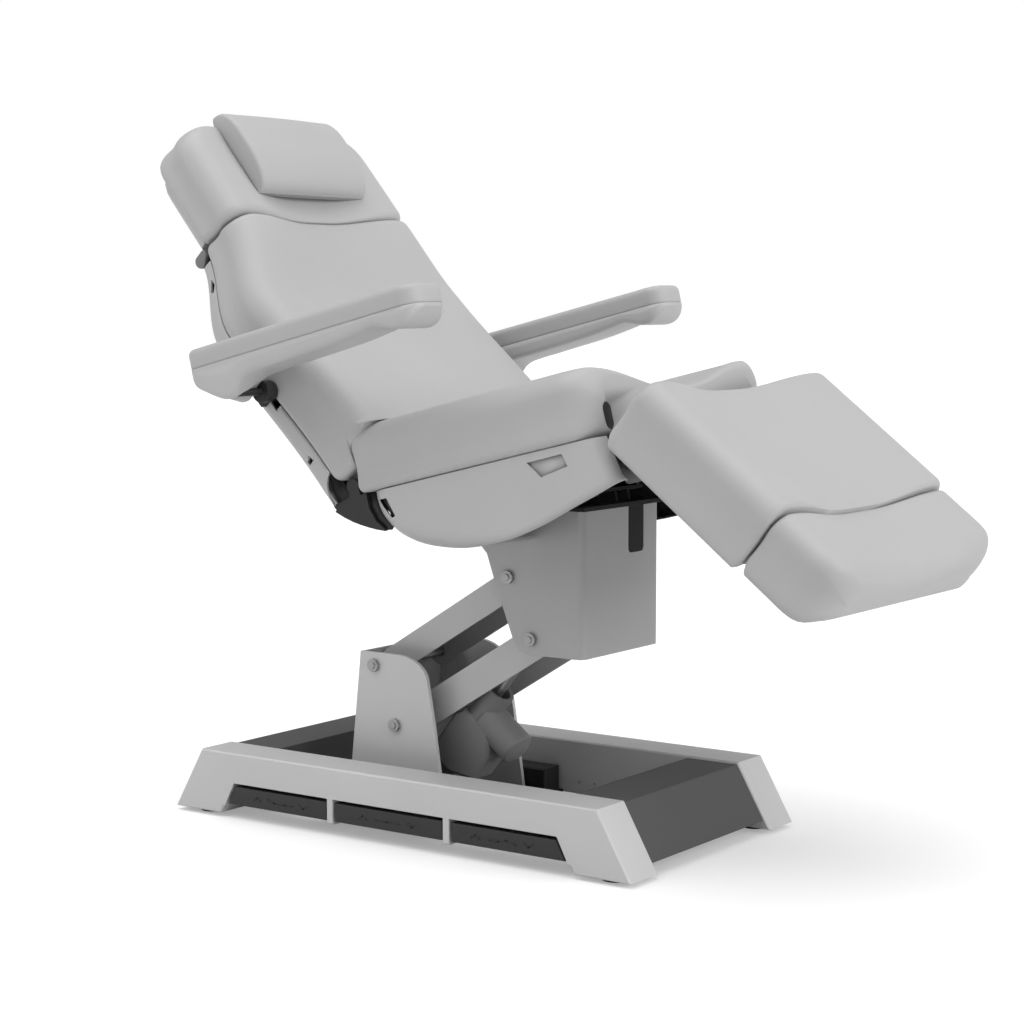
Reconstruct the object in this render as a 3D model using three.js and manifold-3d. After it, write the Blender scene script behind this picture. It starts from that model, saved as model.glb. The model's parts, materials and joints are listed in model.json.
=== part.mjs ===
// Electric examination table in its chair pose, in millimetres, +Z up.
// +X points from the head end to the foot end, -Y is the near side and the floor is z = 0.
import * as THREE from "three";
import { mergeVertices } from "three/addons/utils/BufferGeometryUtils.js";
import Module from "manifold-3d";

const wasm = await Module();
wasm.setup();

const degree = Math.PI / 180;
const gap = 0.3; // between faces that touch
const overrun = 3; // how far a cutter passes its work
const boreGap = 0.4; // between a pin and its bore

// Pose of the table at rest, in degrees.
const pose = { lift: 31.5, seat: 13.5, recline: 62, head: 1.5, leg: 51.4 };

// Base frame. Heights are from the floor, x from the middle of the base.
const base = {
  length: 1030,
  width: 561,
  railWidth: 87,
  footHeight: 8,
  height: 126,
  endSlope: 68,
  footLength: 113,
  archSlope: 8,
  archHeight: 22,
  wall: 4,
  edge: 3,
};
const recess = { height: 69, length: 732, depth: 58, web: 3.5, dividerWidth: 13, dividerPlace: 132 };
const pedal = {
  bottom: 28,
  top: 62.2,
  sideGap: 3,
  endGap: 5.2,
  depth: 54,
  studRadius: 4,
  studStart: 14,
  studHeight: 46,
  edge: 1.5,
};
const foot = { radius: 24, height: 7.7, endMargin: 57 };
const beam = { inner: 176, top: 122, topOuter: 70, bottomOuter: 15, bottom: 24, wall: 3 }; // x from the base's end
const basePlate = { rear: -232, front: 60, bottom: 20, thickness: 8 };
const railHoles = { places: [-1.4, 97, 132], height: 46, radius: 3 };
const inlet = { width: 48, height: 30, depth: 22, socketWall: 4, y: -110, z: 62 };
const controlBox = { rear: -66, front: 56, postGap: 8, railGap: 5.5, height: 48, edge: 4 };

// Post: two plates and a back plate that carry the rear pins of the arms.
const post = {
  halfWidth: 130,
  plate: 8,
  backPlate: 4,
  rearBottom: -211,
  rearTop: -180,
  frontBottom: 16,
  frontMiddle: -9,
  middle: 192,
  shoulder: 270,
  shoulderX: -23,
  top: 318,
  topFront: -92,
};
const arm = {
  upperPinX: -147,
  upperPinZ: 294,
  lowerPinX: -98,
  lowerPinZ: 186,
  length: 356.6,
  upperHeight: 52,
  lowerHeight: 60,
  upperHalfWidth: 77,
  lowerHalfWidth: 85,
  wall: 4,
  openPivotGap: 1.2, // round the one pivot that the linkage leaves open
};
const bolt = { radius: 9, headRadius: 12.5, headHeight: 7, nubRadius: 6.5, nubHeight: 3, sleeveRadius: 14 };

// Lift actuator, along the line from its lower pin to its upper pin.
const liftDrive = {
  lowerX: -60,
  lowerZ: 80,
  armPlace: 270,
  y: -39,
  eyeRadius: 13,
  eyeWidth: 22,
  pinRadius: 7,
  lugRadius: 15,
  lugThickness: 8,
  caseOutline: [
    [38, -20],
    [66, -70],
    [124, -70],
    [158, -42],
    [158, 26],
    [138, 37],
    [60, 37],
    [38, 16],
  ],
  caseHalfWidth: 33,
  caseEdge: 5,
  tubeStart: 146,
  tubeEnd: 222,
  tubeRadius: 29,
  boreRadius: 21.7,
  boreStart: 60,
  rodRadius: 9,
  rodLength: 150,
  canPlace: 163,
  canRadius: 34,
  canTop: -12,
  canEnd: 92,
};
const domeShare = 0.4;

// Column, measured from the front pin of the lower arm.
const column = {
  rear: -111,
  front: 110,
  top: 232.5,
  bottom: -28,
  halfWidth: 126,
  wall: 6,
  bend: 13,
  slotInner: 21,
  slotOuter: 72,
  slotHeight: 84,
  slotCorner: 8,
  cutCorner: [-97, 147.5],
  cutShoulder: [-74, 82.5],
  cutMiddle: [-56, 38.5],
  cutLow: [-39, -4.5],
  cutFoot: [-26, -21.5],
  bottomStart: -8,
};
const cap = { height: 8, overhang: 5, innerHalf: 114, frontRim: 12, tongueGap: 1 };
const tilt = { x: -56, z: 202.5, pinRadius: 9, lugRadius: 20, headRadius: 13, headHeight: 4 };
const tiltDrive = {
  x: 71,
  lowerZ: 22,
  y: 46.5,
  tubeRadius: 18,
  boreRadius: 12.5,
  tubeLength: 120,
  rodRadius: 8,
  rodLength: 138,
  upperZ: 217.5,
  eyeRadius: 14,
  eyeWidth: 20,
  pinRadius: 6,
  canRadius: 20,
  canLength: 56,
};

// Seat, from the rear lower edge of its cushion: x forward along the seat, z square to it.
const seatAt = { x: -186.4, z: 57 }; // from that edge to the tilt pin, both level
const seatCushion = {
  start: 0,
  end: 505,
  halfWidth: 309,
  bottom: 0,
  crest: 119,
  hollow: 40,
  topRadius: 38,
  bottomRadius: 12,
  drawIn: 4,
  startRound: { along: 22, across: 20, roll: 18, top: 14, bottom: 8 },
  endRound: { along: 58, across: 58, roll: 24, top: 22, bottom: 10 },
};
const seatFrame = {
  rear: 22,
  front: 496,
  tubeWidth: 25,
  outer: 245,
  top: -0.3,
  bottom: -30,
  frontBottom: -20,
  crossThickness: 8,
  crossWidth: 40,
  rearCross: 128,
  frontCross: 262,
  driveCross: 378,
  lugThickness: 10,
  lugOuter: 250,
  lugNeck: 9,
  rodClearance: 3,
};
const seatMount = {
  inner: 101,
  thickness: 8,
  rear: 134,
  front: 326,
  frontChamfer: 24,
  shelf: -70,
  shelfStart: 198,
  shelfEnd: 318,
  shelfThickness: 6,
  leverInner: 16.5,
  leverThickness: 8,
  leverRadius: 17,
};
const seatShell = {
  halfWidth: 301,
  top: -4,
  wall: 4,
  bend: 46,
  start: 4,
  startDepth: -27,
  belly: [
    [14, -52],
    [33, -72],
    [78, -104],
    [139, -125],
    [204, -134],
    [290, -134],
    [363, -120],
    [445, -97],
  ],
  front: 506,
  frontDepth: -76,
  corner: 58,
  openingRear: 88,
  openingFront: 362,
  openingHalfWidth: 139,
  openingTop: -44,
  frontOpeningHalf: 222,
  rearSlot: [
    [31, -17],
    [53, -18],
    [66, -52],
    [56, -54],
  ],
  frontSlot: [
    [361, -16],
    [434, -15],
    [441, -37],
    [384, -45],
  ],
  notchDepth: 36,
  kneeNotch: -48,
};

// Hip hinge, in the seat and in the back.
const hip = { x: -23.8, z: 17.1, backX: 41.7, backZ: 17.1, pinRadius: 8, tubeRadius: 14, pinHalf: 283.6 };
const hipCover = {
  inner: 284,
  thickness: 8,
  radius: 58,
  fromAngle: 206,
  toAngle: 216,
  top: -1,
  low: [
    [-74, -20],
    [-56, -33.5],
    [-38.4, -44.6],
    [-22, -53],
    [-4.9, -60.8],
    [12, -67.5],
    [29, -73],
  ],
  neck: [
    [12, -6],
    [-10, -8],
    [-14, -18.4],
  ], // from the hinge
};

// Back: x runs down towards the seat, z towards the patient, from the lower rear edge of the cushion.
const backCushion = {
  start: -525,
  end: 24,
  halfWidth: 309,
  topHalfWidth: 264,
  taperStart: -330,
  bottom: 0,
  crest: 132,
  topCrest: 108,
  hollow: 34,
  topRadius: 48,
  bottomRadius: 14,
  drawIn: 4,
  startRound: { along: 16, across: 10, roll: 16, top: 14, bottom: 6 },
  endRound: { along: 20, across: 12, roll: 20, top: 16, bottom: 16 },
  spans: 8,
};
const backCurve = { sagStart: -20, sagPlace: -348, sag: -20, topRise: 12, reach: -526 };
const cushionGap = 8; // between the back cushion and the seat cushion
const backShell = {
  start: -503,
  end: 46,
  bottom: -32,
  top: -1.5,
  wall: 4,
  bend: 22,
  inset: 6,
  scallop: 43.5,
  coverSlotStart: -24,
};
const backFrame = {
  start: -512,
  end: 8,
  outer: 222,
  tubeWidth: 22,
  bottom: -26,
  top: -6,
  crossPlaces: [-478, -300, -100],
  crossWidth: 30,
  lugInner: 262,
  lugThickness: 13,
  lugRadius: 42,
  lugNeck: 9,
};
const backDrive = {
  y: -70,
  leverLength: 65,
  leverAngle: 239.5,
  leverThickness: 10,
  leverWidth: 18,
  z: -43.5,
  rodRadius: 8,
  rodLength: 150,
  tubeStart: 58,
  tubeEnd: 236,
  tubeRadius: 20,
  boreRadius: 14.5,
  boreDepth: 150,
  canLength: 78,
  canRadius: 21,
  eyeRadius: 11,
  forkWidth: 24,
  forkDepth: 20,
  forkRoot: 30,
  pinRadius: 5,
  hangerWidth: 20,
};

// Head section: its own x runs down to the back, its zero is the lower rear edge of the gap to the back.
const headHinge = { x: -519, z: -13, headX: 8, headZ: -28.5, radius: 8, tubeRadius: 12, halfLength: 246 };
const headCushion = {
  start: -222,
  end: -6,
  halfWidth: 264,
  topHalfWidth: 262,
  taperStart: -110,
  bottom: 0,
  crest: 106,
  hollow: 30,
  topRadius: 42,
  bottomRadius: 14,
  drawIn: 4,
  startRound: { along: 68, across: 74, roll: 36, top: 30, bottom: 26 },
  endRound: { along: 16, across: 10, roll: 16, top: 14, bottom: 6 },
  spans: 4,
};
const headShell = {
  start: -196,
  end: -12,
  bottom: -21,
  top: -0.3,
  wall: 4,
  bend: 18,
  inset: 12,
  corner: 46,
  cornerLength: 60,
};
const headFrame = { start: -150, neck: -34, outer: 200, tubeWidth: 22, bottom: -16, top: -0.3 };
const pillow = {
  start: -238,
  end: -50,
  halfWidth: 144,
  topHalfWidth: 155,
  taperStart: -50,
  bottom: 62,
  crest: 143,
  hollow: -6,
  topRadius: 40,
  bottomRadius: 30,
  drawIn: 0,
  startRound: { along: 52, across: 26, roll: 52, top: 34, bottom: 50 },
  endRound: { along: 84, across: 26, roll: 84, top: 62, bottom: 4 },
  spans: 4,
};

// Leg section: x runs down the leg from the rear lower edge of its cushion.
const knee = {
  x: 507.9,
  z: -18.4,
  legX: -10.1,
  legZ: -18.4,
  pinRadius: 7,
  ringRadius: 11,
  armInner: 247,
  armOuter: 259,
  pinEnd: 261,
};
const seatPocket = { rear: 468, y: 246, radius: 13, low: 9, high: 57 };
const legCushion = {
  start: -8,
  end: 303,
  halfWidth: 309,
  bottom: 0,
  crest: 129,
  hollow: 34,
  topRadius: 42,
  bottomRadius: 14,
  drawIn: 4,
  startRound: { along: 22, across: 18, roll: 30, top: 30, bottom: 14 },
  endRound: { along: 14, across: 8, roll: 14, top: 12, bottom: 10 },
};
const legFrame = {
  start: 34,
  end: 300,
  outer: 200,
  tubeWidth: 30,
  bottom: -27,
  top: -0.3,
  frontCross: 264,
  crossWidth: 26,
  armTop: -8,
  slideRadius: 8.6,
  slideStart: 66,
  slideZ: -14.8,
};
const legDrive = {
  y: -9,
  leverLength: 40,
  leverAngle: 259.5,
  leverThickness: 10,
  leverWidth: 16,
  z: -53.5,
  rodRadius: 6.5,
  rodLength: 116,
  tubeStart: 366,
  tubeEnd: 456,
  tubeRadius: 17.5,
  boreRadius: 13.5,
  boreDepth: 86,
  canLength: 64,
  canRadius: 18.5,
  eyeRadius: 10,
  forkWidth: 24,
  forkDepth: 22,
  forkRoot: 32,
  pinRadius: 5,
  hangerWidth: 20,
};

// Foot section, in the frame of the leg, with rods that slide in the tubes of the leg.
const footCushion = {
  start: 315,
  end: 462,
  halfWidth: 302,
  bottom: 0,
  crest: 116,
  hollow: 26,
  topRadius: 40,
  bottomRadius: 22,
  drawIn: 4,
  startRound: { along: 14, across: 8, roll: 14, top: 12, bottom: 10 },
  endRound: { along: 62, across: 74, roll: 62, top: 52, bottom: 36 },
  spans: 4,
};
const footFrame = { start: 318, end: 410, barWidth: 24, rodRadius: 8, rodLength: 250 };

// Armrest, from its pivot on the back, parallel to the seat.
const armPivot = {
  backX: -198.7,
  backZ: -5.8,
  shaftRadius: 7,
  bossRadius: 20,
  bossInner: 310.5,
  bossOuter: 318,
};
const armrest = {
  inner: 336,
  outer: 437,
  rear: -68,
  front: 452,
  seam: 56,
  top: 92,
  edge: 7,
  tipCorner: 32,
  tailCorner: 14,
  wall: 4,
  pocketFloor: 36,
  padRound: 12,
  hubRadius: 14,
  shaftEnd: 400,
};
const armUnderside = [
  [-68, 48],
  [-66, 32],
  [0, -10],
  [27, -13],
  [37, 6],
  [48, 17],
  [68, 24],
  [140, 28],
];
const armTip = [
  [378, 31],
  [396, 22],
  [426, 21],
  [444, 29],
  [452, 38],
];
const armBar = { halfLength: 12, top: -4, bottom: -24 };

// Colours follow the photograph: greys only.
const finishes = {
  silverPaint: { color: 0xb4b4b4, roughness: 0.45, metalness: 0.35 },
  vinyl: { color: 0xb9b9b9, roughness: 0.6, metalness: 0 },
  palePlastic: { color: 0xbdbdbd, roughness: 0.4, metalness: 0 },
  darkPlastic: { color: 0x3a3a3a, roughness: 0.5, metalness: 0 },
  blackPaint: { color: 0x222222, roughness: 0.5, metalness: 0.2 },
  beamPaint: { color: 0x5c5c5c, roughness: 0.5, metalness: 0.2 },
  drivePlastic: { color: 0x686868, roughness: 0.5, metalness: 0 },
  steel: { color: 0x8f8f8f, roughness: 0.35, metalness: 0.8 },
  rubber: { color: 0x1a1a1a, roughness: 0.9, metalness: 0 },
};

// A closed geometry as a solid for cutting and joining.
function solidOf(geometry) {
  const bare = geometry.index ? geometry.toNonIndexed() : geometry.clone();
  const points = new THREE.BufferGeometry().setAttribute("position", bare.getAttribute("position"));
  const merged = mergeVertices(points, 1e-4);
  return new wasm.Manifold(
    new wasm.Mesh({
      numProp: 3,
      vertProperties: new Float32Array(merged.attributes.position.array),
      triVerts: new Uint32Array(merged.index.array),
    }),
  );
}

function geometryOf(solid) {
  const mesh = solid.getMesh();
  const indexed = new THREE.BufferGeometry();
  indexed.setAttribute("position", new THREE.BufferAttribute(new Float32Array(mesh.vertProperties), 3));
  indexed.setIndex(new THREE.BufferAttribute(new Uint32Array(mesh.triVerts), 1));
  const flat = indexed.toNonIndexed();
  flat.computeVertexNormals();
  return flat;
}

function cut(geometry, ...cutters) {
  return geometryOf(cutters.reduce((rest, cutter) => rest.subtract(solidOf(cutter)), solidOf(geometry)));
}

function join(geometry, ...others) {
  return geometryOf(others.reduce((rest, other) => rest.add(solidOf(other)), solidOf(geometry)));
}

function common(geometry, other) {
  return geometryOf(solidOf(geometry).intersect(solidOf(other)));
}

// The same piece on the other side of the table.
function mirrored(geometry) {
  const copy = (geometry.index ? geometry.toNonIndexed() : geometry.clone()).scale(1, -1, 1);
  const place = copy.attributes.position;
  const first = new THREE.Vector3();
  const second = new THREE.Vector3();
  for (let i = 0; i < place.count; i += 3) {
    first.fromBufferAttribute(place, i);
    second.fromBufferAttribute(place, i + 1);
    place.setXYZ(i, second.x, second.y, second.z);
    place.setXYZ(i + 1, first.x, first.y, first.z);
  }
  copy.computeVertexNormals();
  return copy;
}

function bothSides(geometry) {
  return [geometry, mirrored(geometry)];
}

function block(x0, x1, y0, y1, z0, z1) {
  const shape = new THREE.BoxGeometry(x1 - x0, y1 - y0, z1 - z0);
  return shape.translate((x0 + x1) / 2, (y0 + y1) / 2, (z0 + z1) / 2);
}

// An outline of [x, z] points carried across from y0 to y1, with its rims rounded by edge.
function prism(points, y0, y1, edge = 0, segments = 2) {
  const shape = new THREE.Shape(points.map(([x, z]) => new THREE.Vector2(x, z)));
  const geometry = new THREE.ExtrudeGeometry(shape, {
    depth: y1 - y0 - 2 * edge,
    bevelEnabled: edge > 0,
    bevelThickness: edge,
    bevelSize: edge,
    bevelOffset: -edge,
    bevelSegments: segments,
  });
  return geometry.rotateX(Math.PI / 2).translate(0, y1 - edge, 0);
}

// An outline of [x, y] points carried up from z0 to z1.
function slab(points, z0, z1) {
  const shape = new THREE.Shape(points.map(([x, y]) => new THREE.Vector2(x, y)));
  return new THREE.ExtrudeGeometry(shape, { depth: z1 - z0, bevelEnabled: false }).translate(0, 0, z0);
}

function barAcross(radius, y0, y1, x, z, sides = 16) {
  return new THREE.CylinderGeometry(radius, radius, y1 - y0, sides).translate(x, (y0 + y1) / 2, z);
}

function barAlong(radius, x0, x1, y, z, sides = 16) {
  const shape = new THREE.CylinderGeometry(radius, radius, x1 - x0, sides).rotateZ(Math.PI / 2);
  return shape.translate((x0 + x1) / 2, y, z);
}

function barUp(radius, z0, z1, x, y, sides = 16) {
  const shape = new THREE.CylinderGeometry(radius, radius, z1 - z0, sides).rotateX(Math.PI / 2);
  return shape.translate(x, y, (z0 + z1) / 2);
}

function boreAcross(radius, y0, y1, x, z, sides = 16) {
  return barAcross(radius + boreGap, y0 - overrun, y1 + overrun, x, z, sides);
}

function arc(x, z, radius, from, to, steps) {
  return Array.from({ length: steps + 1 }, (_, i) => {
    const angle = (from + ((to - from) * i) / steps) * degree;
    return [x + radius * Math.cos(angle), z + radius * Math.sin(angle)];
  });
}

// A stepped pin across the table: each [radius, y] step runs on to the next.
function steppedPin(steps, x, z, sides = 12) {
  const profile = [new THREE.Vector2(0, steps[0][1])];
  steps.forEach(([radius, y], i) => {
    profile.push(new THREE.Vector2(radius, y));
    const next = steps[i + 1];
    if (next && next[0] !== radius && next[1] !== y) profile.push(new THREE.Vector2(radius, next[1]));
  });
  profile.push(new THREE.Vector2(0, steps[steps.length - 1][1]));
  return new THREE.LatheGeometry(profile, sides).translate(x, 0, z);
}

function smooth(t) {
  const held = Math.max(0, Math.min(1, t));
  return held * held * (3 - 2 * held);
}

// Closes a row of half sections, each mirrored to the other side, into one body.
function loft(rings) {
  const points = [];
  const faces = [];
  const count = rings[0].section.length;
  const around = 2 * count - 2;
  for (const { place, section } of rings) {
    for (const [y, z] of section) points.push(place, y, z);
    for (let i = count - 2; i > 0; i -= 1) points.push(place, -section[i][0], section[i][1]);
  }
  for (let r = 0; r + 1 < rings.length; r += 1)
    for (let i = 0; i < around; i += 1) {
      const a = r * around + i;
      const b = r * around + ((i + 1) % around);
      faces.push(a, b, a + around, b, b + around, a + around);
    }
  for (const r of [0, rings.length - 1]) {
    const { place, section } = rings[r];
    const middle = points.length / 3;
    points.push(place, 0, (section[0][1] + section[count - 1][1]) / 2);
    for (let i = 0; i < around; i += 1) {
      const a = r * around + i;
      const b = r * around + ((i + 1) % around);
      faces.push(middle, ...(r === 0 ? [b, a] : [a, b]));
    }
  }
  const geometry = new THREE.BufferGeometry();
  geometry.setAttribute("position", new THREE.BufferAttribute(new Float32Array(points), 3));
  geometry.setIndex(faces);
  const flat = geometry.toNonIndexed();
  flat.computeVertexNormals();
  return flat;
}

function halfWidthAt(shape, x) {
  if (shape.topHalfWidth === undefined) return shape.halfWidth;
  const share = smooth((shape.taperStart - x) / (shape.taperStart - shape.start));
  return shape.halfWidth + (shape.topHalfWidth - shape.halfWidth) * share;
}

// Shares of the section of a cushion.
const lowRadiusShare = 0.3; // of its height, at most, for the lower corner
const highRadiusShare = 0.6; // of its height, at most, for the upper corner
const waistShare = 0.45; // where its side is drawn in
const hollowShares = [0.16, 0.34, 0.54, 0.76, 1]; // points of the hollow, from its rim to its middle
const hollowSpreadShare = 1.15; // the hollow levels out before the middle
const endHollowShare = 0.35; // of the hollow is lost at the ends
const cornerAngles = [0, 30, 55, 76, 90]; // stations round an end, in degrees

// Half of a cushion's section, from the middle of its underside round the side to the middle of its top.
function cushionSection(shape, half, bottom, crest, hollow) {
  const height = crest - bottom;
  const low = Math.min(shape.bottomRadius, height * lowRadiusShare);
  const high = Math.min(shape.topRadius, height * highRadiusShare);
  const section = [[0, bottom], [half - low, bottom]];
  for (const share of [0.5, 1]) {
    const turn = (share * Math.PI) / 2;
    section.push([half - low + low * Math.sin(turn), bottom + low - low * Math.cos(turn)]);
  }
  section.push([half - shape.drawIn, bottom + low + (height - low - high) * waistShare]);
  for (const share of [0, 0.25, 0.5, 0.75, 1]) {
    const turn = (share * Math.PI) / 2;
    section.push([half - high + high * Math.cos(turn), crest - high + high * Math.sin(turn)]);
  }
  for (const share of hollowShares) {
    const depth = (1 - Math.cos(Math.PI * Math.min(1, share * hollowSpreadShare))) / 2;
    section.push([(half - high) * (1 - share), crest - hollow * depth]);
  }
  return section;
}

// How far round a quarter arc lies from its tangents, from 0 where it starts to 1 at its end.
function quarter(share) {
  const held = Math.max(0, Math.min(1, share));
  return 1 - Math.sqrt(1 - held * held);
}

// A cushion, grown all round by grow where it serves as a cutter. Its ends have round corners and a roll.
function cushion(shape, grow = 0) {
  const { start, end, startRound, endRound, spans = 5, curve = () => 0 } = shape;
  const turns = cornerAngles.map((angle) => Math.sin(angle * degree));
  const first = start + startRound.along;
  const last = end - endRound.along;
  const places = [
    ...[...turns].reverse().map((t) => first - startRound.along * t),
    ...Array.from({ length: spans - 1 }, (_, i) => first + ((last - first) * (i + 1)) / spans),
    ...turns.map((t) => last + endRound.along * t),
  ];
  const topCrest = shape.topCrest ?? shape.crest;
  const rings = places.map((x, i) => {
    const round = x - start < end - x ? startRound : endRound;
    const inward = Math.min(x - start, end - x);
    const corner = round.across * quarter(1 - inward / round.along);
    const roll = quarter(1 - inward / round.roll);
    const along = (x - start) / (end - start);
    return {
      place: x + grow * ((i === places.length - 1) - (i === 0)),
      section: cushionSection(
        shape,
        halfWidthAt(shape, x) + grow - corner,
        shape.bottom - grow + round.bottom * roll + curve(x),
        topCrest + (shape.crest - topCrest) * along + grow - round.top * roll + curve(x),
        shape.hollow * (1 - endHollowShare * roll),
      ),
    };
  });
  return loft(rings);
}

// Half section of a shallow tray with rounded lower corners.
function traySection(half, bottom, top, bend) {
  const section = [[0, bottom]];
  for (const share of [0, 0.25, 0.5, 0.75, 1]) {
    const turn = (share * Math.PI) / 2;
    section.push([half - bend + bend * Math.sin(turn), bottom + bend - bend * Math.cos(turn)]);
  }
  section.push([half, top], [0, top]);
  return section;
}

// A tray open at its top, from rows of place, half width, bottom, top and bend for an inset.
function tray(rows, wall) {
  const body = (inset) =>
    loft(
      rows(inset).map(([place, half, bottom, top, bend]) => ({
        place,
        section: traySection(half - inset, bottom + inset, top + (inset > 0 ? overrun : 0), bend - inset / 2),
      })),
    );
  return cut(body(0), body(wall));
}

const table = new THREE.Group();

function add(group, name, geometry, finish) {
  const mesh = new THREE.Mesh(geometry, new THREE.MeshStandardMaterial(finishes[finish]));
  mesh.name = name;
  group.add(mesh);
}

// A group that turns about a pin of its parent, given also where that pin lies in the group itself.
function hinged(parent, pinX, pinZ, angle, ownX, ownZ) {
  const turning = new THREE.Group();
  turning.position.set(pinX, 0, pinZ);
  turning.rotation.y = angle * degree;
  const inner = new THREE.Group();
  inner.position.set(-ownX, 0, -ownZ);
  turning.add(inner);
  parent.add(turning);
  return inner;
}

// Base: rails with pedals, beams, feet, plate, inlet and control box.
const railOuter = base.width / 2;
const railInner = railOuter - base.railWidth;
const baseEnd = base.length / 2;
const archEnd = baseEnd - base.footLength;
const recessEnd = recess.length / 2;
const dividerInner = recess.dividerPlace - recess.dividerWidth / 2;
const dividerOuter = recess.dividerPlace + recess.dividerWidth / 2;
const pedalPlaces = ["head", "middle", "foot"];

// The slanted end of the pedal recess, at a height.
function mouthEnd(z) {
  return recessEnd + ((archEnd - recessEnd) * (recess.height - z)) / recess.height;
}

function pedalOutline(place) {
  const inner = dividerInner - pedal.sideGap;
  if (place === "middle")
    return [[-inner, pedal.bottom], [inner, pedal.bottom], [inner, pedal.top], [-inner, pedal.top]];
  const start = dividerOuter + pedal.sideGap;
  const end = mouthEnd(pedal.top) - pedal.endGap;
  const low = mouthEnd(pedal.bottom) - pedal.endGap;
  const outline = [[start, pedal.bottom], [low, pedal.bottom], [end, pedal.top], [start, pedal.top]];
  return place === "foot" ? outline : outline.map(([x, z]) => [-x, z]).reverse();
}

function pedalMiddle(place) {
  const places = pedalOutline(place).map(([x]) => x);
  return (Math.min(...places) + Math.max(...places)) / 2;
}

function makePedal(place) {
  const body = prism(pedalOutline(place), -railOuter + pedal.edge, -railOuter + pedal.depth, pedal.edge, 1);
  const bore = barAcross(
    pedal.studRadius + boreGap,
    -railOuter + pedal.studStart - boreGap,
    -railOuter + pedal.depth + overrun,
    pedalMiddle(place),
    pedal.studHeight,
    10,
  );
  return cut(body, bore);
}

// A rail is a folded profile: an outer face with mouths for the pedals, which rock on studs of its inner web.
function makeRail() {
  const outline = [
    [-baseEnd, base.footHeight],
    [-archEnd, base.footHeight],
    [-archEnd + base.archSlope, base.archHeight],
    [archEnd - base.archSlope, base.archHeight],
    [archEnd, base.footHeight],
    [baseEnd, base.footHeight],
    [baseEnd - base.endSlope, base.height],
    [-baseEnd + base.endSlope, base.height],
  ];
  const body = prism(outline, -railOuter, -railInner, base.edge, 1);
  const low = base.footHeight - overrun;
  const ceilingLow = recess.height;
  const lowEnd = mouthEnd(low);
  const mouths = [
    [[-lowEnd, low], [-dividerOuter, low], [-dividerOuter, ceilingLow], [-recessEnd, ceilingLow]],
    [[-dividerInner, low], [dividerInner, low], [dividerInner, ceilingLow], [-dividerInner, ceilingLow]],
    [[dividerOuter, low], [lowEnd, low], [recessEnd, ceilingLow], [dividerOuter, ceilingLow]],
  ];
  const hollowEnd = baseEnd - base.endSlope - base.wall;
  const webEnd = archEnd - base.archSlope - base.wall;
  const innerWall = -railInner - base.wall;
  const ceiling = recess.height + base.wall;
  const cutters = [
    ...mouths.map((mouth) => prism(mouth, -railOuter - overrun, -railOuter + recess.depth)),
    block(-hollowEnd, hollowEnd, -railOuter + base.wall, innerWall, ceiling, base.height - base.wall),
    block(-webEnd, webEnd, -railOuter + recess.depth + recess.web, innerWall, low, ceiling + overrun),
    ...railHoles.places.map((x) =>
      barAcross(railHoles.radius, innerWall - overrun, -railInner + overrun, x, railHoles.height, 8),
    ),
  ];
  const studs = pedalPlaces.map((place) =>
    barAcross(
      pedal.studRadius,
      -railOuter + pedal.studStart,
      -railOuter + recess.depth + recess.web / 2,
      pedalMiddle(place),
      pedal.studHeight,
      10,
    ),
  );
  return join(cut(body, ...cutters), ...studs);
}

const rail = makeRail();
add(table, "near_side_rail", rail, "silverPaint");
add(table, "far_side_rail", mirrored(rail), "silverPaint");
for (const place of pedalPlaces) {
  const shape = makePedal(place);
  add(table, `near_pedal_${place}`, shape, "darkPlastic");
  add(table, `far_pedal_${place}`, mirrored(shape), "darkPlastic");
}

const beamInner = baseEnd - beam.inner;
const beamTopOuter = baseEnd - beam.topOuter;
const beamBottomOuter = baseEnd - beam.bottomOuter;

function makeBeam() {
  const side = railInner - gap;
  const outline = [
    [beamInner, beam.bottom],
    [beamBottomOuter, beam.bottom],
    [beamTopOuter, beam.top],
    [beamInner, beam.top],
  ];
  const slope = (beamBottomOuter - beamTopOuter) / (beam.top - beam.bottom);
  const lean = beam.wall * Math.hypot(1, slope);
  const inside = [
    [beamInner + beam.wall, beam.bottom - overrun],
    [beamBottomOuter - lean + slope * overrun, beam.bottom - overrun],
    [beamTopOuter - lean + slope * beam.wall, beam.top - beam.wall],
    [beamInner + beam.wall, beam.top - beam.wall],
  ];
  return cut(prism(outline, -side, side), prism(inside, -side + beam.wall, side - beam.wall));
}

// Places a shape, whose x goes into the beam, on the slanted face at the head end.
function onHeadSlope(geometry) {
  const slope = Math.atan2(beamBottomOuter - beamTopOuter, beam.top - beam.bottom);
  const x = -beamBottomOuter + Math.tan(slope) * (inlet.z - beam.bottom);
  return geometry.rotateY(slope).translate(x, inlet.y, inlet.z);
}

function inletBlock(x0, x1, grow) {
  const across = inlet.width / 2 + grow;
  const up = inlet.height / 2 + grow;
  return onHeadSlope(block(x0, x1, -across, across, -up, up));
}

const footBeam = makeBeam();
const headBeam = cut(footBeam.clone().rotateZ(Math.PI), inletBlock(-overrun, inlet.depth + overrun, gap));
add(table, "foot_end_beam", footBeam, "beamPaint");
add(table, "head_end_beam", headBeam, "beamPaint");
const inletSocket = inletBlock(-overrun, inlet.depth - inlet.socketWall, -inlet.socketWall);
add(table, "mains_inlet", cut(inletBlock(0, inlet.depth, 0), inletSocket), "darkPlastic");

for (const [end, sign] of [["head", -1], ["foot", 1]])
  for (const [side, turn] of [["near", -1], ["far", 1]]) {
    const middle = turn * (railOuter - base.railWidth / 2);
    const shape = barUp(foot.radius, 0, foot.height, sign * (baseEnd - foot.endMargin), middle);
    add(table, `${side}_${end}_rubber_foot`, shape, "rubber");
  }

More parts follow.
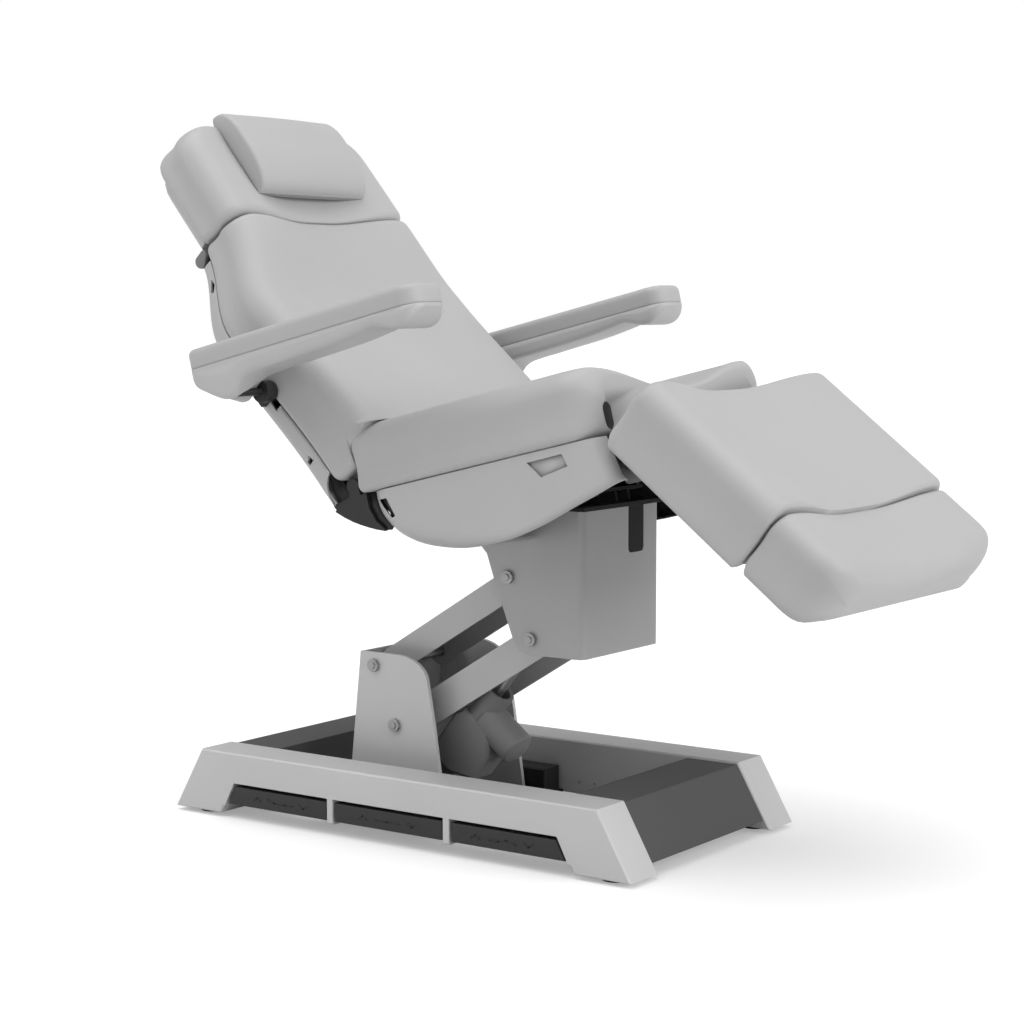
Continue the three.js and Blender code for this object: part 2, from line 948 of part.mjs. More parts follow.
const plateTop = basePlate.bottom + basePlate.thickness;
const liftNear = liftDrive.y - liftDrive.eyeWidth / 2;
const liftFar = liftDrive.y + liftDrive.eyeWidth / 2;

// The base plate carries two lugs and the lower pin of the lift actuator.
function makeBasePlate() {
  const side = railInner - gap;
  const plate = block(basePlate.rear, basePlate.front, -side, side, basePlate.bottom, plateTop);
  const { lowerX, lowerZ, lugRadius, lugThickness, pinRadius } = liftDrive;
  const lugOutline = [
    [lowerX - 2 * lugRadius, plateTop - basePlate.thickness / 2],
    [lowerX + 2 * lugRadius, plateTop - basePlate.thickness / 2],
    ...arc(lowerX, lowerZ, lugRadius, 0, 180, 6),
  ];
  return join(
    plate,
    prism(lugOutline, liftNear - gap - lugThickness, liftNear - gap),
    prism(lugOutline, liftFar + gap, liftFar + gap + lugThickness),
    barAcross(pinRadius, liftNear - 2 * lugThickness, liftFar + 2 * lugThickness, lowerX, lowerZ, 12),
  );
}
add(table, "base_plate", makeBasePlate(), "blackPaint");

function makeControlBox() {
  const floor = plateTop + gap;
  const top = floor + controlBox.height;
  const { rear, front } = controlBox;
  const near = post.halfWidth + controlBox.postGap;
  const far = railInner - controlBox.railGap;
  const edge = Math.min(controlBox.edge, (far - near) / 4);
  return prism([[rear, floor], [front, floor], [front, top], [rear, top]], near, far, edge, 1);
}
add(table, "control_box", makeControlBox(), "blackPaint");

// Post.
const postFloor = plateTop + gap;
const postInner = post.halfWidth - post.plate;
const shoulderSteps = 6;

function postRear(z) {
  return post.rearTop + ((post.rearBottom - post.rearTop) * (post.top - z)) / (post.top - postFloor);
}

function makePostPlate() {
  const shoulder = Array.from({ length: shoulderSteps - 1 }, (_, i) => {
    const turn = (1 - (i + 1) / shoulderSteps) * (Math.PI / 2);
    return [
      post.topFront + (post.shoulderX - post.topFront) * Math.sin(turn),
      post.shoulder + (post.top - post.shoulder) * Math.cos(turn),
    ];
  });
  const outline = [
    [postRear(postFloor), postFloor],
    [post.frontBottom, postFloor],
    [post.frontMiddle, post.middle],
    [post.shoulderX, post.shoulder],
    ...shoulder,
    [post.topFront, post.top],
    [postRear(post.top), post.top],
  ];
  return cut(
    prism(outline, -post.halfWidth, -postInner),
    boreAcross(bolt.radius, -post.halfWidth, -postInner, arm.upperPinX, arm.upperPinZ),
    boreAcross(bolt.radius, -post.halfWidth, -postInner, arm.lowerPinX, arm.lowerPinZ),
  );
}
const postPlate = makePostPlate();
add(table, "near_post_plate", postPlate, "silverPaint");
add(table, "far_post_plate", mirrored(postPlate), "silverPaint");
const backPlateOutline = [
  [postRear(postFloor), postFloor],
  [postRear(postFloor) + post.backPlate, postFloor],
  [postRear(post.top) + post.backPlate, post.top],
  [postRear(post.top), post.top],
];
add(table, "post_back_plate", prism(backPlateOutline, -postInner + gap, postInner - gap), "silverPaint");

// A bolt through two cheeks and an arm between them, with sleeves that fill the space at each side of the arm.
function throughBolt(cheekOuter, cheekInner, armHalf, x, z) {
  const head = cheekOuter + gap;
  const steps = [
    [bolt.nubRadius, -head - bolt.headHeight - bolt.nubHeight],
    [bolt.headRadius, -head - bolt.headHeight],
    [bolt.radius, -head],
    [bolt.sleeveRadius, -cheekInner + gap],
    [bolt.radius, -armHalf - gap],
    [bolt.sleeveRadius, armHalf + gap],
    [bolt.radius, cheekInner - gap],
    [bolt.headRadius, head],
    [bolt.headRadius, head + bolt.headHeight],
  ];
  return steppedPin(steps, x, z, 10);
}

function postBolt(armHalf, x, z) {
  return throughBolt(post.halfWidth, postInner, armHalf, x, z);
}
add(table, "upper_post_bolt", postBolt(arm.upperHalfWidth, arm.upperPinX, arm.upperPinZ), "steel");
add(table, "lower_post_bolt", postBolt(arm.lowerHalfWidth, arm.lowerPinX, arm.lowerPinZ), "steel");

// Arms: channels open downwards, each with its rear pin at its own zero.
function makeArm(height, halfWidth, frontGap, ...extras) {
  const end = height / 2;
  const outline = [...arc(0, 0, end, 90, 270, 8), ...arc(arm.length, 0, end, -90, 90, 8)];
  const inner = halfWidth - arm.wall;
  const reach = end + overrun;
  const hollow = block(-reach, arm.length + reach, -inner, inner, -reach, end - arm.wall);
  const body = cut(
    prism(outline, -halfWidth, halfWidth),
    hollow,
    boreAcross(bolt.radius, -halfWidth, halfWidth, 0, 0),
    boreAcross(bolt.radius + frontGap, -halfWidth, halfWidth, arm.length, 0),
  );
  return extras.length ? join(body, ...extras) : body;
}
const upperArm = hinged(table, arm.upperPinX, arm.upperPinZ, -pose.lift, 0, 0);
const lowerArm = hinged(table, arm.lowerPinX, arm.lowerPinZ, -pose.lift, 0, 0);
const lowerArmInner = arm.lowerHalfWidth - arm.wall / 2;
const liftTopPin = barAcross(liftDrive.pinRadius, -lowerArmInner, lowerArmInner, liftDrive.armPlace, 0, 12);
add(upperArm, "upper_arm", makeArm(arm.upperHeight, arm.upperHalfWidth, arm.openPivotGap), "silverPaint");
add(lowerArm, "lower_arm", makeArm(arm.lowerHeight, arm.lowerHalfWidth, 0, liftTopPin), "silverPaint");

// Lift actuator, between the base plate and the lower arm.
const liftTurn = pose.lift * degree;
const liftTopX = arm.lowerPinX + liftDrive.armPlace * Math.cos(liftTurn);
const liftTopZ = arm.lowerPinZ + liftDrive.armPlace * Math.sin(liftTurn);
const liftReach = Math.hypot(liftTopX - liftDrive.lowerX, liftTopZ - liftDrive.lowerZ);
const liftAngle = Math.atan2(liftTopZ - liftDrive.lowerZ, liftTopX - liftDrive.lowerX) / degree;
const liftBody = hinged(table, liftDrive.lowerX, liftDrive.lowerZ, -liftAngle, 0, 0);
const liftRod = hinged(table, liftTopX, liftTopZ, -liftAngle, liftReach, 0);

function makeLiftActuator() {
  const { caseOutline, caseHalfWidth, caseEdge, tubeStart, y } = liftDrive;
  const { eyeRadius, canPlace, canRadius, canTop, canEnd } = liftDrive;
  const { tubeRadius, tubeEnd, boreRadius, boreStart } = liftDrive;
  const eyeHalf = eyeRadius - boreGap;
  return cut(
    join(
      prism(caseOutline, y - caseHalfWidth, y + caseHalfWidth, caseEdge, 1),
      barUp(canRadius, -canEnd, canTop, canPlace, y, 20),
      new THREE.SphereGeometry(canRadius, 20, 8)
        .rotateX(Math.PI / 2)
        .scale(1, 1, domeShare)
        .translate(canPlace, y, -canEnd),
      barAlong(tubeRadius, tubeStart, tubeEnd, y, 0, 20),
      barAcross(eyeRadius, liftNear, liftFar, 0, 0),
      block(0, caseOutline[0][0] + caseEdge, liftNear, liftFar, -eyeHalf, eyeHalf),
    ),
    boreAcross(liftDrive.pinRadius, liftNear, liftFar, 0, 0, 12),
    barAlong(boreRadius, boreStart, tubeEnd + overrun, y, 0, 20),
  );
}
add(liftBody, "lift_actuator_body", makeLiftActuator(), "drivePlastic");
const liftRodStart = liftReach - liftDrive.rodLength;
const liftRodBar = barAlong(liftDrive.rodRadius, liftRodStart, liftReach, liftDrive.y, 0, 12);
const liftRodEye = barAcross(liftDrive.eyeRadius, liftNear, liftFar, liftReach, 0);
const liftRodBore = boreAcross(liftDrive.pinRadius, liftNear, liftFar, liftReach, 0, 12);
add(liftRod, "lift_actuator_rod", cut(join(liftRodBar, liftRodEye), liftRodBore), "steel");

// Column, from the front pin of the lower arm.
const columnGroup = new THREE.Group();
const liftRise = arm.length * Math.sin(liftTurn);
columnGroup.position.set(arm.lowerPinX + arm.length * Math.cos(liftTurn), 0, arm.lowerPinZ + liftRise);
table.add(columnGroup);
const upperFrontX = arm.upperPinX - arm.lowerPinX;
const upperFrontZ = arm.upperPinZ - arm.lowerPinZ;
const columnInner = column.halfWidth - column.wall;

function folded(rear, front, side, bend, z0, z1) {
  const outline = [
    [rear, -side],
    ...arc(front - bend, -side + bend, bend, -90, 0, 4),
    ...arc(front - bend, side - bend, bend, 0, 90, 4),
    [rear, side],
  ];
  return slab(outline, z0, z1);
}

// The slot in the front of the column, drawn in by inset and open at its top.
function slotOutline(inset, high) {
  const { slotInner, slotOuter, slotHeight, slotCorner, top } = column;
  const low = top - slotHeight + slotCorner;
  return [
    [slotInner + inset, high],
    ...arc(slotInner + slotCorner, low, slotCorner - inset, 180, 270, 3),
    ...arc(slotOuter - slotCorner, low, slotCorner - inset, 270, 360, 3),
    [slotOuter - inset, high],
  ];
}

function makeColumn() {
  const { rear, front, top, bottom, halfWidth, wall, bend } = column;
  const outer = folded(rear - overrun, front, halfWidth, bend, bottom - overrun, top + overrun);
  const innerLow = bottom - 2 * overrun;
  const innerRear = rear - 2 * overrun;
  const inner = folded(innerRear, front - wall, columnInner, bend - wall, innerLow, top + 2 * overrun);
  const side = [
    [rear, top],
    [rear, column.cutCorner[1] + (column.cutCorner[0] - rear)],
    column.cutCorner,
    column.cutShoulder,
    column.cutMiddle,
    column.cutLow,
    column.cutFoot,
    [column.bottomStart, bottom],
    [front + overrun, bottom],
    [front + overrun, top],
  ];
  // The slot is drawn across the front, so its prism is turned from the side to the front.
  const slot = prism(slotOutline(0, top + overrun), -front - overrun, -front + wall + overrun);
  return cut(
    common(outer, prism(side, -halfWidth - overrun, halfWidth + overrun)),
    inner,
    slot.rotateZ(Math.PI / 2),
    boreAcross(bolt.radius, -halfWidth, halfWidth, 0, 0),
    boreAcross(bolt.radius, -halfWidth, halfWidth, upperFrontX, upperFrontZ),
    boreAcross(tilt.pinRadius, -halfWidth, halfWidth, tilt.x, tilt.z),
  );
}

function columnBolt(armHalf, x, z) {
  return throughBolt(column.halfWidth, columnInner, armHalf, x, z);
}
add(columnGroup, "column_shell", makeColumn(), "silverPaint");
add(columnGroup, "lower_column_bolt", columnBolt(arm.lowerHalfWidth, 0, 0), "steel");
add(columnGroup, "upper_column_bolt", columnBolt(arm.upperHalfWidth, upperFrontX, upperFrontZ), "steel");

// The cap lies on the column, and its tongue fills the slot.
function makeCap() {
  const side = column.halfWidth + cap.overhang;
  const front = column.front + cap.overhang;
  const outline = [
    [column.rear, -side],
    [front, -side],
    [front, side],
    [column.rear, side],
    [column.rear, cap.innerHalf],
    [column.front - cap.frontRim, cap.innerHalf],
    [column.front - cap.frontRim, -cap.innerHalf],
    [column.rear, -cap.innerHalf],
  ];
  const low = column.top + gap;
  const tongue = prism(slotOutline(cap.tongueGap, low + cap.height / 2), -column.front, -column.front + column.wall);
  return join(slab(outline, low, low + cap.height), tongue.rotateZ(Math.PI / 2));
}
add(columnGroup, "column_cap", makeCap(), "blackPaint");

// Tilt actuator: its tube stands in the column, and its rod hangs from the seat mount.
function makeTiltTube() {
  const { x, y, lowerZ, tubeLength, tubeRadius, boreRadius, canRadius, canLength } = tiltDrive;
  const low = lowerZ - canLength / 2;
  const high = low + canLength;
  const foot = block(x, column.front - column.wall - gap, y - tubeRadius, y + tubeRadius, low, high);
  const top = lowerZ + tubeLength;
  const body = join(barUp(tubeRadius, lowerZ, top, x, y), barUp(canRadius, low, high, x, y), foot);
  return cut(body, barUp(boreRadius, lowerZ, top + overrun, x, y, 14));
}
add(columnGroup, "tilt_actuator_tube", makeTiltTube(), "drivePlastic");

// Seat, which tilts on the column.
const seatTurn = pose.seat * degree;
const tiltU = -seatAt.x * Math.cos(seatTurn) - seatAt.z * Math.sin(seatTurn);
const tiltV = seatAt.x * Math.sin(seatTurn) - seatAt.z * Math.cos(seatTurn);
const seat = hinged(columnGroup, tilt.x, tilt.z, -pose.seat, tiltU, tiltV);
const rodX = tiltDrive.x - tilt.x;
const rodZ = tiltDrive.upperZ - tilt.z;
const leverU = tiltU + rodX * Math.cos(seatTurn) + rodZ * Math.sin(seatTurn);
const leverV = tiltV - rodX * Math.sin(seatTurn) + rodZ * Math.cos(seatTurn);

// An oval pocket at each side of the front.
function makePocket() {
  const { rear, y, radius, low, high } = seatPocket;
  const front = seatCushion.end + overrun;
  return join(
    block(rear, front, -y - radius, -y + radius, low + radius, high - radius),
    barAlong(radius, rear, front, -y, low + radius, 16),
    barAlong(radius, rear, front, -y, high - radius, 16),
  );
}
add(seat, "seat_cushion", cut(cushion(seatCushion), ...bothSides(makePocket())), "vinyl");

// A plate with a ring round a pin.
function lug(points, x, z, radius, pinRadius, y0, y1) {
  const body = join(prism(points, y0, y1), barAcross(radius, y0, y1, x, z));
  return cut(body, boreAcross(pinRadius, y0, y1, x, z, 12));
}

// The pin of the back lever at rest.
const backLeverTurn = backDrive.leverAngle * degree;
const backLeverU = hip.x + backDrive.leverLength * Math.cos(backLeverTurn);
const backLeverV = hip.z + backDrive.leverLength * Math.sin(backLeverTurn);

// The seat frame has lugs for the shaft of the hip and studs on which the leg turns.
function makeSeatFrame() {
  const f = seatFrame;
  const inner = f.outer - f.tubeWidth;
  const lugInner = f.lugOuter - f.lugThickness;
  const rearLug = [
    [f.rear + f.tubeWidth, f.bottom],
    [f.rear + f.tubeWidth, f.top],
    [hip.x + hip.tubeRadius + f.lugNeck, f.top],
    [hip.x + f.lugNeck, hip.z + f.lugNeck],
    [hip.x - f.lugNeck, hip.z - f.lugNeck],
    [hip.x + f.lugNeck, f.bottom],
  ];
  const kneeLug = block(
    f.front - f.tubeWidth / 2,
    knee.x,
    -f.outer,
    -f.outer + f.lugThickness,
    knee.z - knee.ringRadius,
    knee.z + knee.ringRadius,
  );
  const cross = (x, width, bottom) => block(x, x + width, -f.outer, f.outer, bottom, f.top);
  const rodHalf = backDrive.forkWidth / 2 + f.rodClearance;
  const rodTop = backLeverV + backDrive.eyeRadius + f.rodClearance;
  const rodNotch = block(
    f.rear - overrun,
    f.rear + f.tubeWidth + overrun,
    backDrive.y - rodHalf,
    backDrive.y + rodHalf,
    f.bottom - overrun,
    rodTop,
  );
  return join(
    ...bothSides(block(f.rear, f.front, -f.outer, -inner, f.bottom, f.top)),
    cut(cross(f.rear, f.tubeWidth, f.bottom), rodNotch),
    cross(f.front - f.tubeWidth, f.tubeWidth, f.frontBottom),
    cross(f.rearCross, f.crossWidth, f.top - f.crossThickness),
    cross(f.frontCross, f.crossWidth, f.top - f.crossThickness),
    cross(f.driveCross, f.crossWidth, f.top - f.crossThickness),
    ...bothSides(lug(rearLug, hip.x, hip.z, hip.tubeRadius, hip.pinRadius, -f.lugOuter, -lugInner)),
    ...bothSides(kneeLug),
    ...bothSides(barAcross(knee.ringRadius, -f.outer, -f.outer + f.lugThickness, knee.x, knee.z)),
    ...bothSides(barAcross(knee.pinRadius, -knee.pinEnd, -f.outer + f.lugThickness / 2, knee.x, knee.z, 14)),
  );
}
add(seat, "seat_frame", makeSeatFrame(), "blackPaint");

// The seat mount hangs in the column on its pin and carries the lugs of the tilt actuator.
function makeSeatMount() {
  const m = seatMount;
  const outer = m.inner + m.thickness;
  const top = seatFrame.top - seatFrame.crossThickness - gap;
  const shelfLow = m.shelf - m.shelfThickness;
  const cheek = [
    [m.rear, top],
    [tiltU - tilt.lugRadius, tiltV],
    [tiltU + tilt.lugRadius, tiltV],
    [m.front - m.frontChamfer, shelfLow],
    [m.front, shelfLow + m.frontChamfer],
    [m.front, top],
  ];
  const leverTop = m.shelf - m.shelfThickness / 2;
  const lever = [
    [leverU - m.leverRadius, leverTop],
    [leverU - m.leverRadius, leverV],
    [leverU + m.leverRadius, leverV],
    [leverU + m.leverRadius, leverTop],
  ];
  const leverOuter = m.leverInner + m.leverThickness;
  const { y, pinRadius } = tiltDrive;
  const leverSpans = [
    [y - leverOuter, y - m.leverInner],
    [y + m.leverInner, y + leverOuter],
  ];
  const pinReach = column.halfWidth + gap;
  const pinSteps = [
    [tilt.headRadius, -pinReach - tilt.headHeight],
    [tilt.pinRadius, -pinReach],
    [tilt.headRadius, pinReach],
    [tilt.headRadius, pinReach + tilt.headHeight],
  ];
  return join(
    ...bothSides(prism(cheek, -outer, -m.inner)),
    ...bothSides(barAcross(tilt.lugRadius, -outer, -m.inner, tiltU, tiltV)),
    block(m.shelfStart, m.shelfEnd, -outer, outer, shelfLow, m.shelf),
    block(m.front - m.thickness, m.front, -outer, outer, shelfLow + m.frontChamfer, top),
    ...leverSpans.flatMap(([from, to]) => [prism(lever, from, to), barAcross(m.leverRadius, from, to, leverU, leverV)]),
    barAcross(pinRadius, y - m.leverInner - overrun, y + m.leverInner + overrun, leverU, leverV, 12),
    steppedPin(pinSteps, tiltU, tiltV),
  );
}
add(seat, "seat_mount", makeSeatMount(), "blackPaint");

// The rod of the tilt actuator stays upright while the seat tilts.
const tiltRod = hinged(columnGroup, tiltDrive.x, tiltDrive.upperZ, 0, 0, 0);
function makeTiltRod() {
  const { y, eyeWidth, eyeRadius, rodRadius, rodLength, pinRadius } = tiltDrive;
  const from = y - eyeWidth / 2;
  const to = y + eyeWidth / 2;
  const body = join(barUp(rodRadius, -rodLength, 0, 0, y, 12), barAcross(eyeRadius, from, to, 0, 0));
  return cut(body, boreAcross(pinRadius, from, to, 0, 0, 12));
}
add(tiltRod, "tilt_actuator_rod", makeTiltRod(), "steel");

// The seat shell is a tub under the seat, open round the column and where levers and lugs pass.
const highTrayShare = 0.8; // of its depth, at most, for the rounded corner of the tub
function seatShellRows(inset) {
  const s = seatShell;
  const cornerStart = s.front - s.corner;
  const [lastX, lastZ] = s.belly.at(-1);
  const depthAt = (x) => lastZ + ((s.frontDepth - lastZ) * (x - lastX)) / (s.front - lastX);
  const front = cornerAngles.map((angle) => cornerStart + s.corner * Math.sin(angle * degree));
  const rows = [[s.start, s.startDepth], ...s.belly, ...front.map((x) => [x, depthAt(x)])];
  return rows.map(([x, z], i) => {
    const ends = (i === 0) - (i === rows.length - 1);
    const bend = Math.min(s.bend, (s.top - z) * highTrayShare);
    return [x + inset * ends, s.halfWidth - s.corner * quarter((x - cornerStart) / s.corner), z, s.top, bend];
  });
}

function makeSeatShell() {
  const s = seatShell;
  const low = -2 * s.halfWidth;
  const lugInner = seatFrame.lugOuter - seatFrame.lugThickness - overrun;
  const slot = (points) => bothSides(prism(points, -s.halfWidth - overrun, -s.halfWidth + s.wall + overrun));
  const notch = (x0, x1, y0, y1, z) => block(x0, x1, y0, y1, z, s.top + overrun);
  const backFork = backDrive.forkWidth / 2 + overrun;
  const legFork = legDrive.forkWidth / 2 + overrun;
  const kneeInner = seatFrame.outer - seatFrame.lugThickness - overrun;
  const atFront = [s.front - s.notchDepth, s.front + overrun];
  return cut(
    tray(seatShellRows, s.wall),
    block(s.openingRear, s.openingFront, -s.openingHalfWidth, s.openingHalfWidth, low, s.openingTop),
    ...slot(s.rearSlot),
    ...slot(s.frontSlot),
    block(s.openingFront - overrun, s.front + overrun, -s.frontOpeningHalf, s.frontOpeningHalf, low, s.openingTop),
    notch(-overrun, s.belly[2][0], backDrive.y - backFork, backDrive.y + backFork, s.belly[1][1] - s.wall),
    notch(...atFront, legDrive.y - legFork, legDrive.y + legFork, low),
    ...bothSides(notch(...atFront, -knee.armOuter - overrun, -kneeInner, s.kneeNotch)),
    ...bothSides(notch(-overrun, s.start + 3 * s.wall, -seatFrame.lugOuter - overrun, -lugInner, -2 * s.bend)),
  );
}
add(seat, "seat_shell", makeSeatShell(), "palePlastic");

// Hip covers hang beside the hinge, outside the cheeks of the back, and reach under the rear of the shell.
function makeHipCover() {
  const h = hipCover;
  const s = seatShell;
  const [[firstX, firstZ], [nextX, nextZ]] = s.belly;
  const [tipX] = h.low.at(-1);
  const outline = [
    ...arc(hip.x, hip.z, h.radius, h.fromAngle, h.toAngle, 1),
    ...h.low,
    [tipX, firstZ + ((nextZ - firstZ) * (tipX - firstX)) / (nextX - firstX) - 2 * gap],
    [firstX - gap, firstZ - 2 * gap],
    [s.start - gap, s.startDepth - 2 * gap],
    [s.start - gap, h.top],
    [hip.x + hip.tubeRadius, h.top],
    ...h.neck.map(([x, z]) => [hip.x + x, hip.z + z]),
  ];
  const plate = prism(outline, -h.inner - h.thickness, -h.inner);
  return join(plate, barAcross(hip.tubeRadius, -h.inner - h.thickness, -h.inner, hip.x, hip.z));
}
const hipCoverShape = makeHipCover();
add(seat, "near_hip_cover", hipCoverShape, "blackPaint");
add(seat, "far_hip_cover", mirrored(hipCoverShape), "blackPaint");
add(seat, "hip_shaft", barAcross(hip.pinRadius, -hip.pinHalf, hip.pinHalf, hip.x, hip.z, 14), "steel");

// Actuators in the seat: fixed tubes, and rods that hang from the levers of the back and of the leg.
function makeLyingTube(d, canStart, boreFrom, boreTo) {
  const middle = canStart + d.canLength / 2;
  const hangerTop = seatFrame.top - seatFrame.crossThickness - gap;
  const half = d.hangerWidth / 2;
  return cut(
    join(
      barAlong(d.tubeRadius, d.tubeStart, d.tubeEnd, d.y, d.z),
      barAlong(d.canRadius, canStart, canStart + d.canLength, d.y, d.z),
      block(middle - half, middle + half, d.y - half, d.y + half, d.z, hangerTop),
    ),
    barAlong(d.boreRadius, boreFrom, boreTo, d.y, d.z, 14),
  );
}
const backTube = makeLyingTube(
  backDrive,
  backDrive.tubeEnd - overrun,
  backDrive.tubeStart - overrun,
  backDrive.tubeStart + backDrive.boreDepth,
);
const legTube = makeLyingTube(
  legDrive,
  legDrive.tubeStart,
  legDrive.tubeEnd - legDrive.boreDepth,
  legDrive.tubeEnd + overrun,
);
add(seat, "back_actuator_tube", backTube, "drivePlastic");
add(seat, "leg_actuator_tube", legTube, "drivePlastic");

// A rod whose fork and pin hold a lever, drawn from that pin towards +x or -x.
function makeForkRod(d, toward) {
  const half = d.forkWidth / 2;
  const slotHalf = d.leverThickness / 2 + boreGap;
  const clear = 2 * d.eyeRadius;
  const along = (x0, x1) => [Math.min(toward * x0, toward * x1), Math.max(toward * x0, toward * x1)];
  const fork = cut(
    join(
      block(...along(0, d.forkRoot), d.y - half, d.y + half, -d.eyeRadius, d.eyeRadius),
      barAcross(d.eyeRadius, d.y - half, d.y + half, 0, 0),
    ),
    block(...along(-clear, d.forkDepth), d.y - slotHalf, d.y + slotHalf, -clear, clear),
  );
  const rod = barAlong(d.rodRadius, ...along(d.forkRoot - overrun, d.rodLength), d.y, 0, 12);
  return join(fork, rod, barAcross(d.pinRadius, d.y - half, d.y + half, 0, 0, 12));
}
add(hinged(seat, backLeverU, backLeverV, 0, 0, 0), "back_actuator_rod", makeForkRod(backDrive, 1), "steel");

// Back.
const back = hinged(seat, hip.x, hip.z, pose.recline, hip.backX, hip.backZ);

// The rear of the back sags behind the waist and comes forward again at its top.
function backRise(x) {
  const c = backCurve;
  const down = c.sag * smooth((x - c.sagStart) / (c.sagPlace - c.sagStart));
  return down + (c.topRise - c.sag) * smooth((x - c.sagPlace) / (c.reach - c.sagPlace));
}

function makeBackCushion() {
  const room = cushion(seatCushion, cushionGap)
    .translate(-hip.x, 0, -hip.z)
    .rotateY(-pose.recline * degree)
    .translate(hip.backX, 0, hip.backZ);
  return cut(cushion({ ...backCushion, curve: backRise }), room);
}
add(back, "back_cushion", makeBackCushion(), "vinyl");

function evenly(start, end, steps) {
  return Array.from({ length: steps + 1 }, (_, i) => start + ((end - start) * i) / steps);
}

function makeBackShell() {
  const s = backShell;
  const rows = (inset) =>
    evenly(s.start, s.end, 10).map((x, i, all) => {
      const ends = (i === 0) - (i === all.length - 1);
      const rise = backRise(x);
      return [x + inset * ends, halfWidthAt(backCushion, x) - s.inset, s.bottom + rise, s.top + rise, s.bend];
    });
  const reach = backCushion.halfWidth;
  const lever = backDrive.leverThickness / 2 + overrun;
  const barHalf = armBar.halfLength + overrun;
  const rise = backRise(armPivot.backX);
  const slotInner = hipCover.inner - overrun / 2;
  const slotOuter = hipCover.inner + hipCover.thickness + overrun / 2;
  return cut(
    tray(rows, s.wall),
    barAcross(s.scallop, -reach, reach, hip.backX, hip.backZ, 32),
    block(0, s.end + overrun, backDrive.y - lever, backDrive.y + lever, 2 * s.bottom, -s.bottom),
    ...bothSides(block(s.coverSlotStart, s.end + overrun, -slotOuter, -slotInner, 2 * s.bottom, -s.bottom)),
    ...bothSides(
      block(
        s.start - overrun,
        s.start + s.wall + overrun,
        -backFrame.outer - overrun,
        -backFrame.outer + backFrame.tubeWidth + overrun,
        s.bottom,
        -s.bottom,
      ),
    ),
    ...bothSides(
      block(
        armPivot.backX - barHalf,
        armPivot.backX + barHalf,
        -reach,
        -reach + s.bend,
        armBar.bottom + rise - overrun,
        -s.bottom,
      ),
    ),
  );
}
add(back, "back_shell", makeBackShell(), "palePlastic");

// A bar that follows the rear of the back.
function curvedBar(start, end, y0, y1, bottom, top, steps = 8) {
  const places = evenly(start, end, steps);
  const low = places.map((x) => [x, bottom + backRise(x)]);
  const high = places.map((x) => [x, top + backRise(x)]);
  return prism([...low, ...high.reverse()], y0, y1);
}

function strut(x0, z0, x1, z1, width, y0, y1) {
  const length = Math.hypot(x1 - x0, z1 - z0);
  const nx = (-(z1 - z0) / length) * (width / 2);
  const nz = ((x1 - x0) / length) * (width / 2);
  return prism([[x0 + nx, z0 + nz], [x0 - nx, z0 - nz], [x1 - nx, z1 - nz], [x1 + nx, z1 + nz]], y0, y1);
}

const leverX = hip.backX + backDrive.leverLength * Math.cos(backLeverTurn + pose.recline * degree);
const leverZ = hip.backZ + backDrive.leverLength * Math.sin(backLeverTurn + pose.recline * degree);
const leverNear = backDrive.y - backDrive.leverThickness / 2;
const leverFar = backDrive.y + backDrive.leverThickness / 2;

